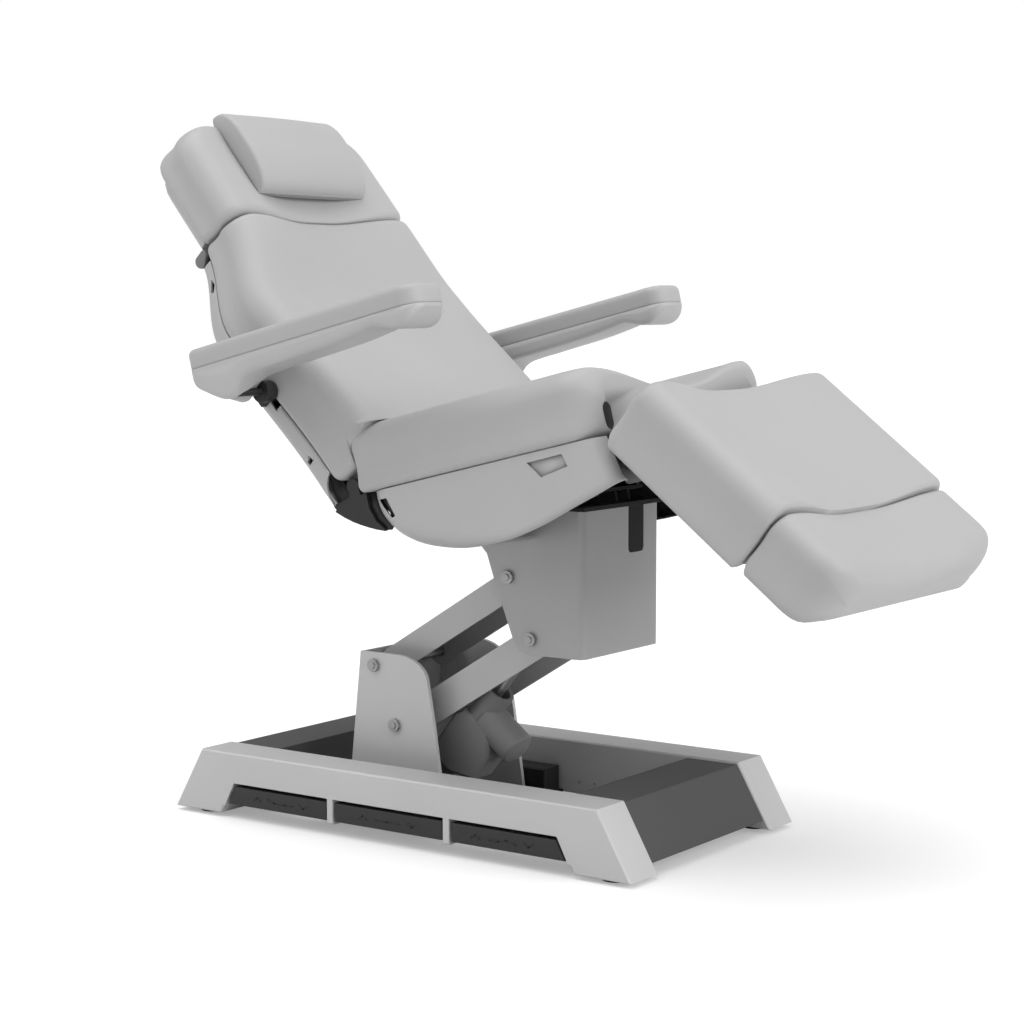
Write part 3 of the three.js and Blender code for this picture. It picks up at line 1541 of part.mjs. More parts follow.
function makeBackFrame() {
  const f = backFrame;
  const inner = f.outer - f.tubeWidth;
  const lugOuter = f.lugInner + f.lugThickness;
  const tubeHalf = seatFrame.lugOuter - seatFrame.lugThickness - gap;
  const footStart = f.end - f.crossWidth;
  const cheek = [
    [footStart, f.bottom],
    [footStart, f.top],
    [backCushion.end, f.top],
    [hip.backX - f.lugNeck, hip.backZ + f.lugNeck],
    ...arc(hip.backX, hip.backZ, hip.tubeRadius, 100, -30, 5),
    ...arc(hip.backX, hip.backZ, f.lugRadius, 290, 245, 4),
  ];
  const web = [
    [footStart, f.bottom],
    [footStart, f.top],
    [backCushion.end, f.top],
    [hip.backX - f.lugNeck, hip.backZ + f.lugNeck],
    [hip.backX + f.lugNeck, hip.backZ - f.lugNeck],
    [f.end + f.lugNeck, f.bottom],
  ];
  const crossHalf = inner + overrun;
  const crossLow = f.bottom + boreGap;
  const crossHigh = f.top - boreGap;
  const cross = (x) => curvedBar(x, x + f.crossWidth, -crossHalf, crossHalf, crossLow, crossHigh, 2);
  const armRise = backRise(armPivot.backX);
  const armSpan = [armPivot.backX - armBar.halfLength, armPivot.backX + armBar.halfLength];
  const armLow = armBar.bottom + armRise;
  const armBarShape = block(...armSpan, -armPivot.bossOuter, -inner, armLow, armBar.top + armRise);
  const boss = barAcross(
    armPivot.bossRadius,
    -armPivot.bossOuter,
    -armPivot.bossInner,
    armPivot.backX,
    armPivot.backZ,
    20,
  );
  const body = join(
    ...bothSides(curvedBar(f.start, f.end, -f.outer, -inner, f.bottom, f.top)),
    ...f.crossPlaces.map(cross),
    block(footStart, f.end, -lugOuter, lugOuter, f.bottom, f.top),
    ...bothSides(prism(cheek, -lugOuter, -f.lugInner)),
    ...bothSides(prism(web, -f.outer, -inner)),
    ...bothSides(armBarShape),
    ...bothSides(boss),
    barAcross(hip.tubeRadius, -tubeHalf, tubeHalf, hip.backX, hip.backZ),
    strut(hip.backX, hip.backZ, leverX, leverZ, backDrive.leverWidth, leverNear, leverFar),
    barAcross(backDrive.eyeRadius, leverNear, leverFar, leverX, leverZ),
    makeHeadBar(),
  );
  return cut(
    body,
    boreAcross(hip.pinRadius, -lugOuter, lugOuter, hip.backX, hip.backZ, 14),
    boreAcross(backDrive.pinRadius, leverNear, leverFar, leverX, leverZ, 12),
    ...bothSides(
      boreAcross(
        armPivot.shaftRadius,
        -armPivot.bossOuter,
        -armPivot.bossInner,
        armPivot.backX,
        armPivot.backZ,
        12,
      ),
    ),
  );
}

// The bar at the top of the back on which the head section turns, with necks for its rings.
const ringOuter = headFrame.outer;
const ringInner = headFrame.outer - headFrame.tubeWidth;
function makeHeadBar() {
  const h = headHinge;
  const steps = [
    [h.tubeRadius, -h.halfLength],
    [h.radius, -ringOuter - gap],
    [h.tubeRadius, -ringInner + gap],
    [h.radius, ringInner - gap],
    [h.tubeRadius, ringOuter + gap],
    [h.tubeRadius, h.halfLength],
  ];
  return steppedPin(steps, h.x, h.z, 12);
}
add(back, "back_frame", makeBackFrame(), "blackPaint");

// Head, hinged on the bar of the back.
const head = hinged(back, headHinge.x, headHinge.z, pose.head, headHinge.headX, headHinge.headZ);
add(head, "head_cushion", cushion(headCushion), "vinyl");

function makeHeadFrame() {
  const f = headFrame;
  const { headX, headZ, tubeRadius, radius } = headHinge;
  const arm = [
    [f.start, f.bottom],
    [f.neck, f.bottom],
    [headX - tubeRadius / 2, headZ - tubeRadius / 2],
    [headX + tubeRadius / 2, headZ + tubeRadius / 2],
    [headCushion.end, f.top],
    [f.start, f.top],
  ];
  return join(
    ...bothSides(lug(arm, headX, headZ, tubeRadius, radius, -ringOuter, -ringInner)),
    block(f.start, f.start + f.tubeWidth, -f.outer, f.outer, f.bottom, f.top),
  );
}
add(head, "head_frame", makeHeadFrame(), "blackPaint");

function makeHeadShell() {
  const s = headShell;
  const rows = (inset) =>
    evenly(s.start, s.end, 8).map((x, i, all) => {
      const ends = (i === 0) - (i === all.length - 1);
      const corner = Math.max(0, 1 - (x - s.start) / s.cornerLength);
      const drawn = s.corner * (1 - Math.sqrt(1 - corner * corner));
      return [x + inset * ends, halfWidthAt(headCushion, x) - s.inset - drawn, s.bottom, s.top, s.bend];
    });
  const reach = ringOuter + overrun;
  const inner = ringInner - overrun;
  return cut(
    tray(rows, s.wall),
    ...bothSides(block(headFrame.neck - overrun, s.end + overrun, -reach, -inner, 2 * s.bottom, -s.bottom)),
  );
}
add(head, "head_shell", makeHeadShell(), "palePlastic");
add(head, "pillow", cut(cushion(pillow), cushion(headCushion, gap)), "vinyl");

// Leg section, hinged at the front of the seat.
const leg = hinged(seat, knee.x, knee.z, pose.leg, knee.legX, knee.legZ);
const slideY = legFrame.outer - legFrame.tubeWidth / 2;
add(leg, "leg_cushion", cushion(legCushion), "vinyl");

// The lever pin of the leg, in the seat and in the leg.
const legLeverTurn = legDrive.leverAngle * degree;
const legPinU = knee.x + legDrive.leverLength * Math.cos(legLeverTurn);
const legPinV = knee.z + legDrive.leverLength * Math.sin(legLeverTurn);
const legPinX = knee.legX + legDrive.leverLength * Math.cos(legLeverTurn + pose.leg * degree);
const legPinZ = knee.legZ + legDrive.leverLength * Math.sin(legLeverTurn + pose.leg * degree);

function makeLegFrame() {
  const f = legFrame;
  const inner = f.outer - f.tubeWidth;
  const armEnd = f.start + f.crossWidth;
  const armShape = [
    [armEnd, f.bottom],
    [armEnd, f.armTop],
    [knee.legX, f.armTop],
    [knee.legX, knee.legZ - knee.ringRadius],
    [f.start, f.bottom],
  ];
  const near = legDrive.y - legDrive.leverThickness / 2;
  const far = legDrive.y + legDrive.leverThickness / 2;
  const middle = f.start + f.crossWidth / 2;
  const cross = (x, reach) => block(x, x + f.crossWidth, -reach, reach, f.bottom, f.top);
  const body = join(
    ...bothSides(block(f.start, f.end, -f.outer, -inner, f.bottom, f.top)),
    cross(f.start, knee.armOuter),
    cross(f.frontCross, f.outer),
    ...bothSides(prism(armShape, -knee.armOuter, -knee.armInner)),
    ...bothSides(barAcross(knee.ringRadius, -knee.armOuter, -knee.armInner, knee.legX, knee.legZ)),
    strut(middle, (f.bottom + f.top) / 2, legPinX, legPinZ, legDrive.leverWidth, near, far),
    barAcross(legDrive.eyeRadius, near, far, legPinX, legPinZ),
  );
  return cut(
    body,
    ...bothSides(boreAcross(knee.pinRadius, -knee.armOuter, -knee.armInner, knee.legX, knee.legZ, 14)),
    boreAcross(legDrive.pinRadius, near, far, legPinX, legPinZ, 12),
    ...bothSides(barAlong(f.slideRadius, f.slideStart, f.end + overrun, -slideY, f.slideZ, 14)),
  );
}
add(leg, "leg_frame", makeLegFrame(), "blackPaint");
add(hinged(seat, legPinU, legPinV, 0, 0, 0), "leg_actuator_rod", makeForkRod(legDrive, -1), "steel");

// Foot section, which slides out of the leg on two rods.
add(leg, "foot_cushion", cushion(footCushion), "vinyl");
function makeFootFrame() {
  const f = footFrame;
  const { outer, bottom, top, slideZ } = legFrame;
  const inner = outer - f.barWidth;
  return join(
    block(f.start, f.start + f.barWidth, -outer, outer, bottom, top),
    ...bothSides(block(f.start, f.end, -outer, -inner, bottom, top)),
    ...bothSides(barAlong(f.rodRadius, f.start - f.rodLength, f.start + overrun, -slideY, slideZ, 12)),
  );
}
add(leg, "foot_frame", makeFootFrame(), "blackPaint");

// Armrests: a bracket on the back keeps the arm parallel to the seat, and the arm turns up on it.
const armTurn = hinged(back, armPivot.backX, armPivot.backZ, -pose.recline, 0, 0);

function makeArmBracket() {
  const { shaftRadius, bossRadius, bossInner, bossOuter } = armPivot;
  const steps = [
    [shaftRadius, -armrest.shaftEnd],
    [bossRadius, -armrest.inner + gap],
    [shaftRadius, -bossOuter - gap],
    [shaftRadius, -bossInner],
  ];
  return steppedPin(steps, 0, 0, 20);
}

// The outline of an armrest from above, with larger corners at its tip.
function armPlan(shrink) {
  const a = armrest;
  const [x0, x1] = [a.rear + shrink, a.front - shrink];
  const [y0, y1] = [-a.outer + shrink, -a.inner - shrink];
  const tip = a.tipCorner - shrink;
  const tail = a.tailCorner - shrink;
  return [
    ...arc(x0 + tail, y0 + tail, tail, 180, 270, 3),
    ...arc(x1 - tip, y0 + tip, tip, -90, 0, 4),
    ...arc(x1 - tip, y1 - tip, tip, 0, 90, 4),
    ...arc(x0 + tail, y1 - tail, tail, 90, 180, 3),
  ];
}

function makeArmShell() {
  const a = armrest;
  const outline = [...armUnderside, ...armTip, [a.front, a.seam], [a.rear, a.seam]];
  const low = Math.min(...outline.map(([, z]) => z)) - a.hubRadius;
  const body = common(
    join(
      prism(outline, -a.outer, -a.inner, a.edge, 1),
      barAcross(a.hubRadius, -a.outer + a.edge, -a.inner, 0, 0),
    ),
    slab(armPlan(0), low, a.seam),
  );
  return cut(
    body,
    slab(armPlan(a.edge), a.pocketFloor, a.seam + overrun),
    barAcross(armPivot.shaftRadius + boreGap, -a.shaftEnd - boreGap, -a.inner + overrun, 0, 0, 14),
  );
}

function makeArmCushion() {
  const a = armrest;
  const low = a.seam + gap;
  const round = a.padRound;
  const rings = [0, 30, 60, 90].map((angle) => [
    round * (1 - Math.cos(angle * degree)),
    a.top - round + round * Math.sin(angle * degree),
  ]);
  return stack([[0, low], ...rings].map(([shrink, z]) => armPlan(shrink).map(([x, y]) => [x, y, z])));
}

// Closes a pile of outlines, each with as many points, into one body.
function stack(layers) {
  const count = layers[0].length;
  const faces = [];
  for (let r = 0; r + 1 < layers.length; r += 1)
    for (let i = 0; i < count; i += 1) {
      const a = r * count + i;
      const b = r * count + ((i + 1) % count);
      faces.push(a, b, a + count, b, b + count, a + count);
    }
  const top = (layers.length - 1) * count;
  for (let i = 1; i + 1 < count; i += 1) faces.push(0, i + 1, i, top, top + i, top + i + 1);
  const geometry = new THREE.BufferGeometry();
  geometry.setAttribute("position", new THREE.BufferAttribute(new Float32Array(layers.flat(2)), 3));
  geometry.setIndex(faces);
  const flat = geometry.toNonIndexed();
  flat.computeVertexNormals();
  return flat;
}
const armShapes = [
  ["arm_bracket", makeArmBracket(), "blackPaint"],
  ["arm_shell", makeArmShell(), "palePlastic"],
  ["arm_cushion", makeArmCushion(), "vinyl"],
];
for (const [name, shape, finish] of armShapes) {
  add(armTurn, `near_${name}`, shape, finish);
  add(armTurn, `far_${name}`, mirrored(shape), finish);
}

// The table stands on z = 0 with its box centred over the origin.
table.updateMatrixWorld(true);
const extent = new THREE.Box3();
table.traverse((piece) => {
  if (piece.isMesh) extent.expandByObject(piece, true);
});
table.position.set(-(extent.min.x + extent.max.x) / 2, -(extent.min.y + extent.max.y) / 2, -extent.min.z);

export default table;
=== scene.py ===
# A treatment table with electric lift, in its chair pose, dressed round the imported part.
import json
import math

import bmesh
import bpy
from mathutils import Matrix, Vector


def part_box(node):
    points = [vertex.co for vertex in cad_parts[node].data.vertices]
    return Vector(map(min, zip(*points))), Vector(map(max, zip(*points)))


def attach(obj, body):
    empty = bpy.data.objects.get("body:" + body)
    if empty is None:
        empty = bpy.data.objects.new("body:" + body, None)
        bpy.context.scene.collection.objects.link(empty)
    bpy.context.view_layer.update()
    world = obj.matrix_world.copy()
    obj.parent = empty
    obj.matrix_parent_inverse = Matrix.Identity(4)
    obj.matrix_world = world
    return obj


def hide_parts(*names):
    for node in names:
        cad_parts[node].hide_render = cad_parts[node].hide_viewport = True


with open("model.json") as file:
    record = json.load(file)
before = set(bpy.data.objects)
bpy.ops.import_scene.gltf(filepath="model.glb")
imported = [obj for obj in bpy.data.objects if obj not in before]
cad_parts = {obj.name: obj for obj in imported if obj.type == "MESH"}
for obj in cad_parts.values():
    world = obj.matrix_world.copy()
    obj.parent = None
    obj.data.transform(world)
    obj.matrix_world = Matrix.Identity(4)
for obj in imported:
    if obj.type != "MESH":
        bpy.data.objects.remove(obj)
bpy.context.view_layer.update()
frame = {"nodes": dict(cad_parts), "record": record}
nodes = frame["nodes"]
scene = bpy.context.scene
mm = 0.001
print("stage: frame loaded,", len(nodes), "nodes")

# The base is symmetric, so the middle of a rail tells where the drawing's zero lies.
railLow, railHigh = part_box("near_side_rail")
baseX = (railLow.x + railHigh.x) / 2 - 0.5 * mm

# Where each section's zero lies from the middle of the base, in mm, and its turn about y.
sections = {
    "seat": {"x": -36.349, "z": 631.823, "turn": -13.5},
    "back": {"x": -103.921, "z": 662.795, "turn": 48.5},
    "head": {"x": -440.867, "z": 1067.337, "turn": 50.0},
    "leg": {"x": 481.086, "z": 740.813, "turn": 37.9},
    "armrest": {"x": -239.928, "z": 807.769, "turn": -13.5},
    "base": {"x": 0, "z": 0, "turn": 0},
}


def sectionMatrix(name):
    place = sections[name]
    move = Matrix.Translation((baseX + place["x"] * mm, 0, place["z"] * mm))
    return move @ Matrix.Rotation(math.radians(place["turn"]), 4, "Y") @ Matrix.Scale(mm, 4)


# Shader kit: a wire carries a socket, and sums and products of wires become Math nodes.
class Wire:
    def __init__(self, finish, socket):
        self.finish = finish
        self.socket = socket

    def join(self, operation, first, second):
        return self.finish.node("ShaderNodeMath", {"operation": operation}, {0: first, 1: second})

    def __add__(self, other):
        return self.join("ADD", self, other)

    def __radd__(self, other):
        return self.join("ADD", other, self)

    def __sub__(self, other):
        return self.join("SUBTRACT", self, other)

    def __rsub__(self, other):
        return self.join("SUBTRACT", other, self)

    def __mul__(self, other):
        return self.join("MULTIPLY", self, other)

    def __rmul__(self, other):
        return self.join("MULTIPLY", other, self)

    def __gt__(self, other):
        return self.join("GREATER_THAN", self, other)


class Finish:
    def __init__(self, name, color, roughness, metallic=0.0):
        self.material = bpy.data.materials.new(name)
        self.material.use_nodes = True
        self.tree = self.material.node_tree
        self.tree.nodes.clear()
        self.shader = self.tree.nodes.new("ShaderNodeBsdfPrincipled")
        self.output = self.tree.nodes.new("ShaderNodeOutputMaterial")
        self.tree.links.new(self.shader.outputs[0], self.output.inputs["Surface"])
        self.set("Base Color", (*color, 1))
        self.set("Roughness", roughness)
        self.set("Metallic", metallic)
        self.coords = self.node("ShaderNodeTexCoord", out="Object")
        self.material.diffuse_color = (*color, 1)

    def put(self, socket, value):
        if isinstance(value, Wire):
            self.tree.links.new(value.socket, socket)
        else:
            socket.default_value = value

    def set(self, name, value):
        self.put(self.shader.inputs[name], value)

    def node(self, kind, settings=None, inputs=None, out=0):
        made = self.tree.nodes.new(kind)
        for key, value in (settings or {}).items():
            if key == "stops":
                ramp = made.color_ramp
                for i, (place, color) in enumerate(value):
                    stop = ramp.elements[i] if i < 2 else ramp.elements.new(place)
                    stop.position = place
                    stop.color = color
            else:
                setattr(made, key, value)
        for key, value in (inputs or {}).items():
            self.put(made.inputs[key], value)
        return Wire(self, made.outputs[out])

    def noise(self, scale, detail=2.0, roughness=0.5):
        sizes = {"Vector": self.coords, "Scale": scale, "Detail": detail, "Roughness": roughness}
        return self.node("ShaderNodeTexNoise", {}, sizes)

    def tint(self, amount, dark, light):
        mixed = {0: amount, 6: (*dark, 1), 7: (*light, 1)}
        return self.node("ShaderNodeMix", {"data_type": "RGBA"}, mixed, out=2)

    def bump(self, height, strength, distance):
        return self.node("ShaderNodeBump", {}, {"Height": height, "Strength": strength, "Distance": distance})


def shade(color, share):
    return tuple(c * share for c in color)


def vinylFinish(name, color):
    # Soft upholstery vinyl: fine pebble grain, faint cloudy variation, a low sheen.
    made = Finish(name, color, 0.5)
    grainSettings = {"feature": "DISTANCE_TO_EDGE"}
    grain = made.node("ShaderNodeTexVoronoi", grainSettings, {"Vector": made.coords, "Scale": 780.0})
    fine = made.noise(2400.0, 3.0)
    clouds = made.noise(5.0, 3.0)
    creases = made.noise(46.0, 4.0, 0.6)
    made.set("Base Color", made.tint(clouds, shade(color, 0.965), shade(color, 1.03)))
    made.set("Roughness", 0.46 + clouds * 0.1)
    height = grain * 0.8 + fine * 0.25 + creases * 0.35
    made.set("Normal", made.bump(height, 0.16, 0.0005))
    made.shader.inputs["Sheen Weight"].default_value = 0.12
    made.shader.inputs["Sheen Roughness"].default_value = 0.5
    return made.material


def mouldedFinish(name, color, roughness, grainScale=1500.0, strength=0.08):
    # Moulded plastic: fine spark texture and slight cloudiness.
    made = Finish(name, color, roughness)
    clouds = made.noise(7.0, 2.0)
    spark = made.noise(grainScale, 3.0, 0.65)
    made.set("Base Color", made.tint(clouds, shade(color, 0.97), shade(color, 1.025)))
    made.set("Roughness", roughness - 0.05 + clouds * 0.1)
    made.set("Normal", made.bump(spark, strength, 0.0003))
    return made.material


def paintFinish(name, color, roughness, metallic, orangePeel=0.06):
    # Powder coat: an orange-peel surface with fine flecks.
    made = Finish(name, color, roughness, metallic)
    peel = made.noise(620.0, 2.0)
    flecks = made.noise(5200.0, 1.0)
    clouds = made.noise(6.0, 3.0)
    light = clouds * 0.6 + flecks * 0.4
    made.set("Base Color", made.tint(light, shade(color, 0.93), shade(color, 1.06)))
    made.set("Roughness", roughness - 0.06 + peel * 0.12)
    made.set("Normal", made.bump(peel * 0.7 + flecks * 0.3, orangePeel, 0.0004))
    return made.material


def steelFinish(name, color, roughness):
    # Zinc plated steel with turning marks.
    made = Finish(name, color, roughness, 0.85)
    marks = made.noise(900.0, 3.0, 0.7)
    clouds = made.noise(30.0, 2.0)
    made.set("Base Color", made.tint(clouds, shade(color, 0.85), shade(color, 1.08)))
    made.set("Roughness", roughness - 0.08 + marks * 0.2)
    made.set("Normal", made.bump(marks, 0.06, 0.0002))
    return made.material


def rubberFinish(name, color):
    made = Finish(name, color, 0.8)
    dust = made.noise(60.0, 4.0, 0.6)
    grit = made.noise(1800.0, 2.0)
    made.set("Base Color", made.tint(dust, shade(color, 0.8), shade(color, 1.5)))
    made.set("Roughness", 0.72 + dust * 0.18)
    made.set("Normal", made.bump(grit, 0.15, 0.0004))
    return made.material


def grey(value):
    return (value, value, value)


finishes = {
    "vinyl": vinylFinish("soft_vinyl", grey(0.418)),
    "pale_plastic": mouldedFinish("pale_moulded_plastic", grey(0.45), 0.4),
    "silver_paint": paintFinish("silver_powder_coat", grey(0.56), 0.42, 0.1),
    "black_paint": paintFinish("black_powder_coat", grey(0.016), 0.5, 0.0),
    "beam_paint": paintFinish("dark_grey_powder_coat", grey(0.066), 0.65, 0.0),
    "dark_plastic": mouldedFinish("dark_pedal_plastic", grey(0.024), 0.48, 900.0, 0.14),
    "drive_plastic": mouldedFinish("motor_housing_plastic", grey(0.19), 0.5, 1100.0, 0.12),
    "steel": steelFinish("plated_steel", grey(0.4), 0.36),
    "rubber": rubberFinish("foot_rubber", grey(0.02)),
}
# The column gets a darker copy of the silver paint as painted shade, the shade under the seat.
columnShadedFinish = paintFinish("column_powder_coat_painted_shade", grey(0.40), 0.4, 0.1)
# The lift arms get a darker copy of the silver paint as painted shade.
armShadedFinish = paintFinish("lift_arm_powder_coat_painted_shade", grey(0.5), 0.42, 0.1)
iconFinish = mouldedFinish("pedal_symbol_print", grey(0.012), 0.45)
# The near-black pocket lining is painted shade, the dark of the pocket.
pocketShadeFinish = mouldedFinish("pocket_lining_painted_shade", grey(0.05), 0.7)


# The near-black inner colour of the seat shell is painted shade.
shellLook = {"pale": (0.436, 0.461), "inside": 0.03, "insideHalf": 0.297, "facing": 0.02, "upward": 0.5}


def shellFinish():
    # The seat shell is pale outside; its inner faces, where only its underside shows, are coloured near black
    # as painted shade.
    made = Finish("seat_shell_plastic_painted_shade_inside", grey(0.51), 0.4)
    clouds = made.noise(7.0, 2.0)
    spark = made.noise(1500.0, 3.0, 0.65)
    pale = made.tint(clouds, grey(shellLook["pale"][0]), grey(shellLook["pale"][1]))
    place = made.node("ShaderNodeSeparateXYZ", {}, {0: made.coords}, out=1)
    normal = made.node("ShaderNodeTexCoord", out="Normal")
    across = made.node("ShaderNodeSeparateXYZ", {}, {0: normal}, out=1)
    upward = made.node("ShaderNodeSeparateXYZ", {}, {0: normal}, out=2)
    # Painted shade: inner faces that point inwards, and faces that point up between the walls, get the
    # near-black colour.
    inward = (0.0 - place * across) > shellLook["facing"]
    sideways = made.node("ShaderNodeMath", {"operation": "ABSOLUTE"}, {0: place})
    shadedUpFacing = (upward > shellLook["upward"]) * ((shellLook["insideHalf"] - sideways) > 0)
    inside = made.node("ShaderNodeMath", {"operation": "MAXIMUM"}, {0: inward, 1: shadedUpFacing})
    mixed = {0: inside, 6: pale, 7: (*grey(shellLook["inside"]), 1)}
    made.set("Base Color", made.node("ShaderNodeMix", {"data_type": "RGBA"}, mixed, out=2))
    made.set("Roughness", 0.36 + clouds * 0.08)
    made.set("Normal", made.bump(spark, 0.08, 0.0003))
    return made.material


seatShellFinish = shellFinish()
capFinish = mouldedFinish("column_cap_black", grey(0.006), 0.75)
print("stage: finishes made")

# Carried-over solids: welded, edges eased, and given their finish.
slotOf = {part["node"]: part["material_slot"] for part in frame["record"]["subparts"]}
easing = {
    "near_side_rail": 1.6, "far_side_rail": 1.6, "column_shell": 6.5, "back_shell": 1.2,
    "head_shell": 1.0, "near_arm_shell": 2.2, "far_arm_shell": 2.2, "lift_actuator_body": 1.6,
}
usualEasing = 0.7


def easeEdges(piece, width, angle, evenness):
    ease = piece.modifiers.new("ease", "BEVEL")
    ease.width = width * mm
    ease.segments = 2
    ease.limit_method = "ANGLE"
    ease.angle_limit = math.radians(angle)
    even = piece.modifiers.new("even", "WEIGHTED_NORMAL")
    even.keep_sharp = True
    even.weight = evenness


def tidyNode(name):
    piece = nodes[name]
    mesh = piece.data
    for attribute in ("custom_normal", "sharp_edge"):
        if attribute in mesh.attributes:
            mesh.attributes.remove(mesh.attributes[attribute])
    mesh.shade_smooth()
    weld = piece.modifiers.new("weld", "WELD")
    weld.merge_threshold = 0.00002
    easeEdges(piece, easing.get(name, usualEasing), 32, 60)
    mesh.materials.clear()
    mesh.materials.append(ownFinish.get(name, finishes[slotOf[name]]))


ownFinish = {
    "column_shell": columnShadedFinish, "column_cap": capFinish, "upper_arm": armShadedFinish, "lower_arm": armShadedFinish,
}
for name in nodes:
    tidyNode(name)
print("stage: solids dressed")


# Meshes of the padding. Places and sizes are in mm in the section's own frame.
def clamp(value, low=0.0, high=1.0):
    return max(low, min(high, value))


def smoothStep(value):
    held = clamp(value)
    return held * held * (3 - 2 * held)


def quarter(share):
    held = clamp(share)
    return 1 - math.sqrt(1 - held * held)


def halfWidthAt(shape, x):
    if "topHalfWidth" not in shape:
        return shape["halfWidth"]
    share = smoothStep((shape["taperStart"] - x) / (shape["taperStart"] - shape["start"]))
    return shape["halfWidth"] + (shape["topHalfWidth"] - shape["halfWidth"]) * share


lowSteps = 5
highSteps = 12
hollowSteps = 18
endSteps = 12
spanSteps = 26
skirtWidth = 26


def paddingSection(shape, half, bottom, crest, hollow, skirt):
    # A skirt reaches below the board that the cushion lies on, round its edge.
    board = half - skirtWidth
    section = [(board * i / 3, bottom) for i in range(4)]
    bottom -= skirt
    height = crest - bottom
    low = min(shape["bottomRadius"], height * 0.3)
    high = min(shape["topRadius"], height * 0.6)
    section.append((board + skirt / 2 + 1, bottom))
    for i in range(1, lowSteps + 1):
        turn = math.pi / 2 * i / lowSteps
        section.append((half - low + low * math.sin(turn), bottom + low - low * math.cos(turn)))
    side = height - low - high
    for i in range(1, 6):
        drawn = shape["drawIn"] * math.sin(math.pi * i / 6)
        section.append((half - drawn, bottom + low + side * i / 6))
    for i in range(highSteps + 1):
        turn = math.pi / 2 * i / highSteps
        section.append((half - high + high * math.cos(turn), crest - high + high * math.sin(turn)))
    for i in range(1, hollowSteps + 1):
        share = i / hollowSteps
        depth = (1 - math.cos(math.pi * min(1, share * 1.15))) / 2
        section.append(((half - high) * (1 - share), crest - hollow * depth))
    return section


def paddingRings(shape, curve):
    start, end = shape["start"], shape["end"]
    startRound, endRound = shape["startRound"], shape["endRound"]
    first = start + startRound["along"]
    last = end - endRound["along"]
    turns = [math.sin(math.pi / 2 * i / endSteps) for i in range(endSteps + 1)]
    places = [first - startRound["along"] * t for t in reversed(turns)]
    places += [first + (last - first) * i / spanSteps for i in range(1, spanSteps)]
    places += [last + endRound["along"] * t for t in turns]
    topCrest = shape.get("topCrest", shape["crest"])
    rings = []
    for x in places:
        turn = startRound if x - start < end - x else endRound
        inward = min(x - start, end - x)
        corner = turn["across"] * quarter(1 - inward / turn["along"])
        roll = quarter(1 - inward / turn["roll"])
        along = (x - start) / (end - start)
        half = halfWidthAt(shape, x) - corner
        bottom = shape["bottom"] + turn["bottom"] * roll + curve(x)
        crest = topCrest + (shape["crest"] - topCrest) * along - turn["top"] * roll + curve(x)
        topHollow = shape.get("topHollow", shape["hollow"])
        hollow = topHollow + (shape["hollow"] - topHollow) * along
        skirt = shape.get("skirt", 0) * (1 - smoothStep(roll * 3))
        section = paddingSection(shape, half, bottom, crest, hollow * (1 - 0.35 * roll), skirt)
        rings.append([(x, y, z) for y, z in section])
    return rings


def bandFaces(rows, count, around):
    # Squares between rows of points: all the way round, or open at one side.
    faces = []
    for r in range(rows - 1):
        for i in range(around):
            a = r * count + i
            b = r * count + (i + 1) % count
            faces.append((a, b, b + count, a + count))
    return faces


def closeRings(rings):
    # Rings of half sections, mirrored and closed, as points and faces.
    points = []
    count = len(rings[0])
    around = 2 * count - 2
    for ring in rings:
        points += ring
        points += [(x, -y, z) for x, y, z in reversed(ring[1:-1])]
    faces = bandFaces(len(rings), around, around)
    faces.append(tuple(reversed(range(around))))
    faces.append(tuple(range((len(rings) - 1) * around, len(rings) * around)))
    return points, faces


def makePiece(name, points, faces, section, finish, body, slot):
    mesh = bpy.data.meshes.new(name)
    mesh.from_pydata([Vector(p) for p in points], [], faces)
    mesh.transform(sectionMatrix(section))
    mesh.update()
    shape = bmesh.new()
    shape.from_mesh(mesh)
    bmesh.ops.recalc_face_normals(shape, faces=shape.faces)
    shape.to_mesh(mesh)
    shape.free()
    mesh.shade_smooth()
    piece = bpy.data.objects.new(name, mesh)
    scene.collection.objects.link(piece)
    mesh.materials.append(finish)
    if body:
        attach(piece, body)
    return piece


backCurve = {"sagStart": -20, "sagPlace": -348, "sag": -20, "topRise": 12, "reach": -526}


def backRise(x):
    c = backCurve
    down = c["sag"] * smoothStep((x - c["sagStart"]) / (c["sagPlace"] - c["sagStart"]))
    return down + (c["topRise"] - c["sag"]) * smoothStep((x - c["sagPlace"]) / (c["reach"] - c["sagPlace"]))


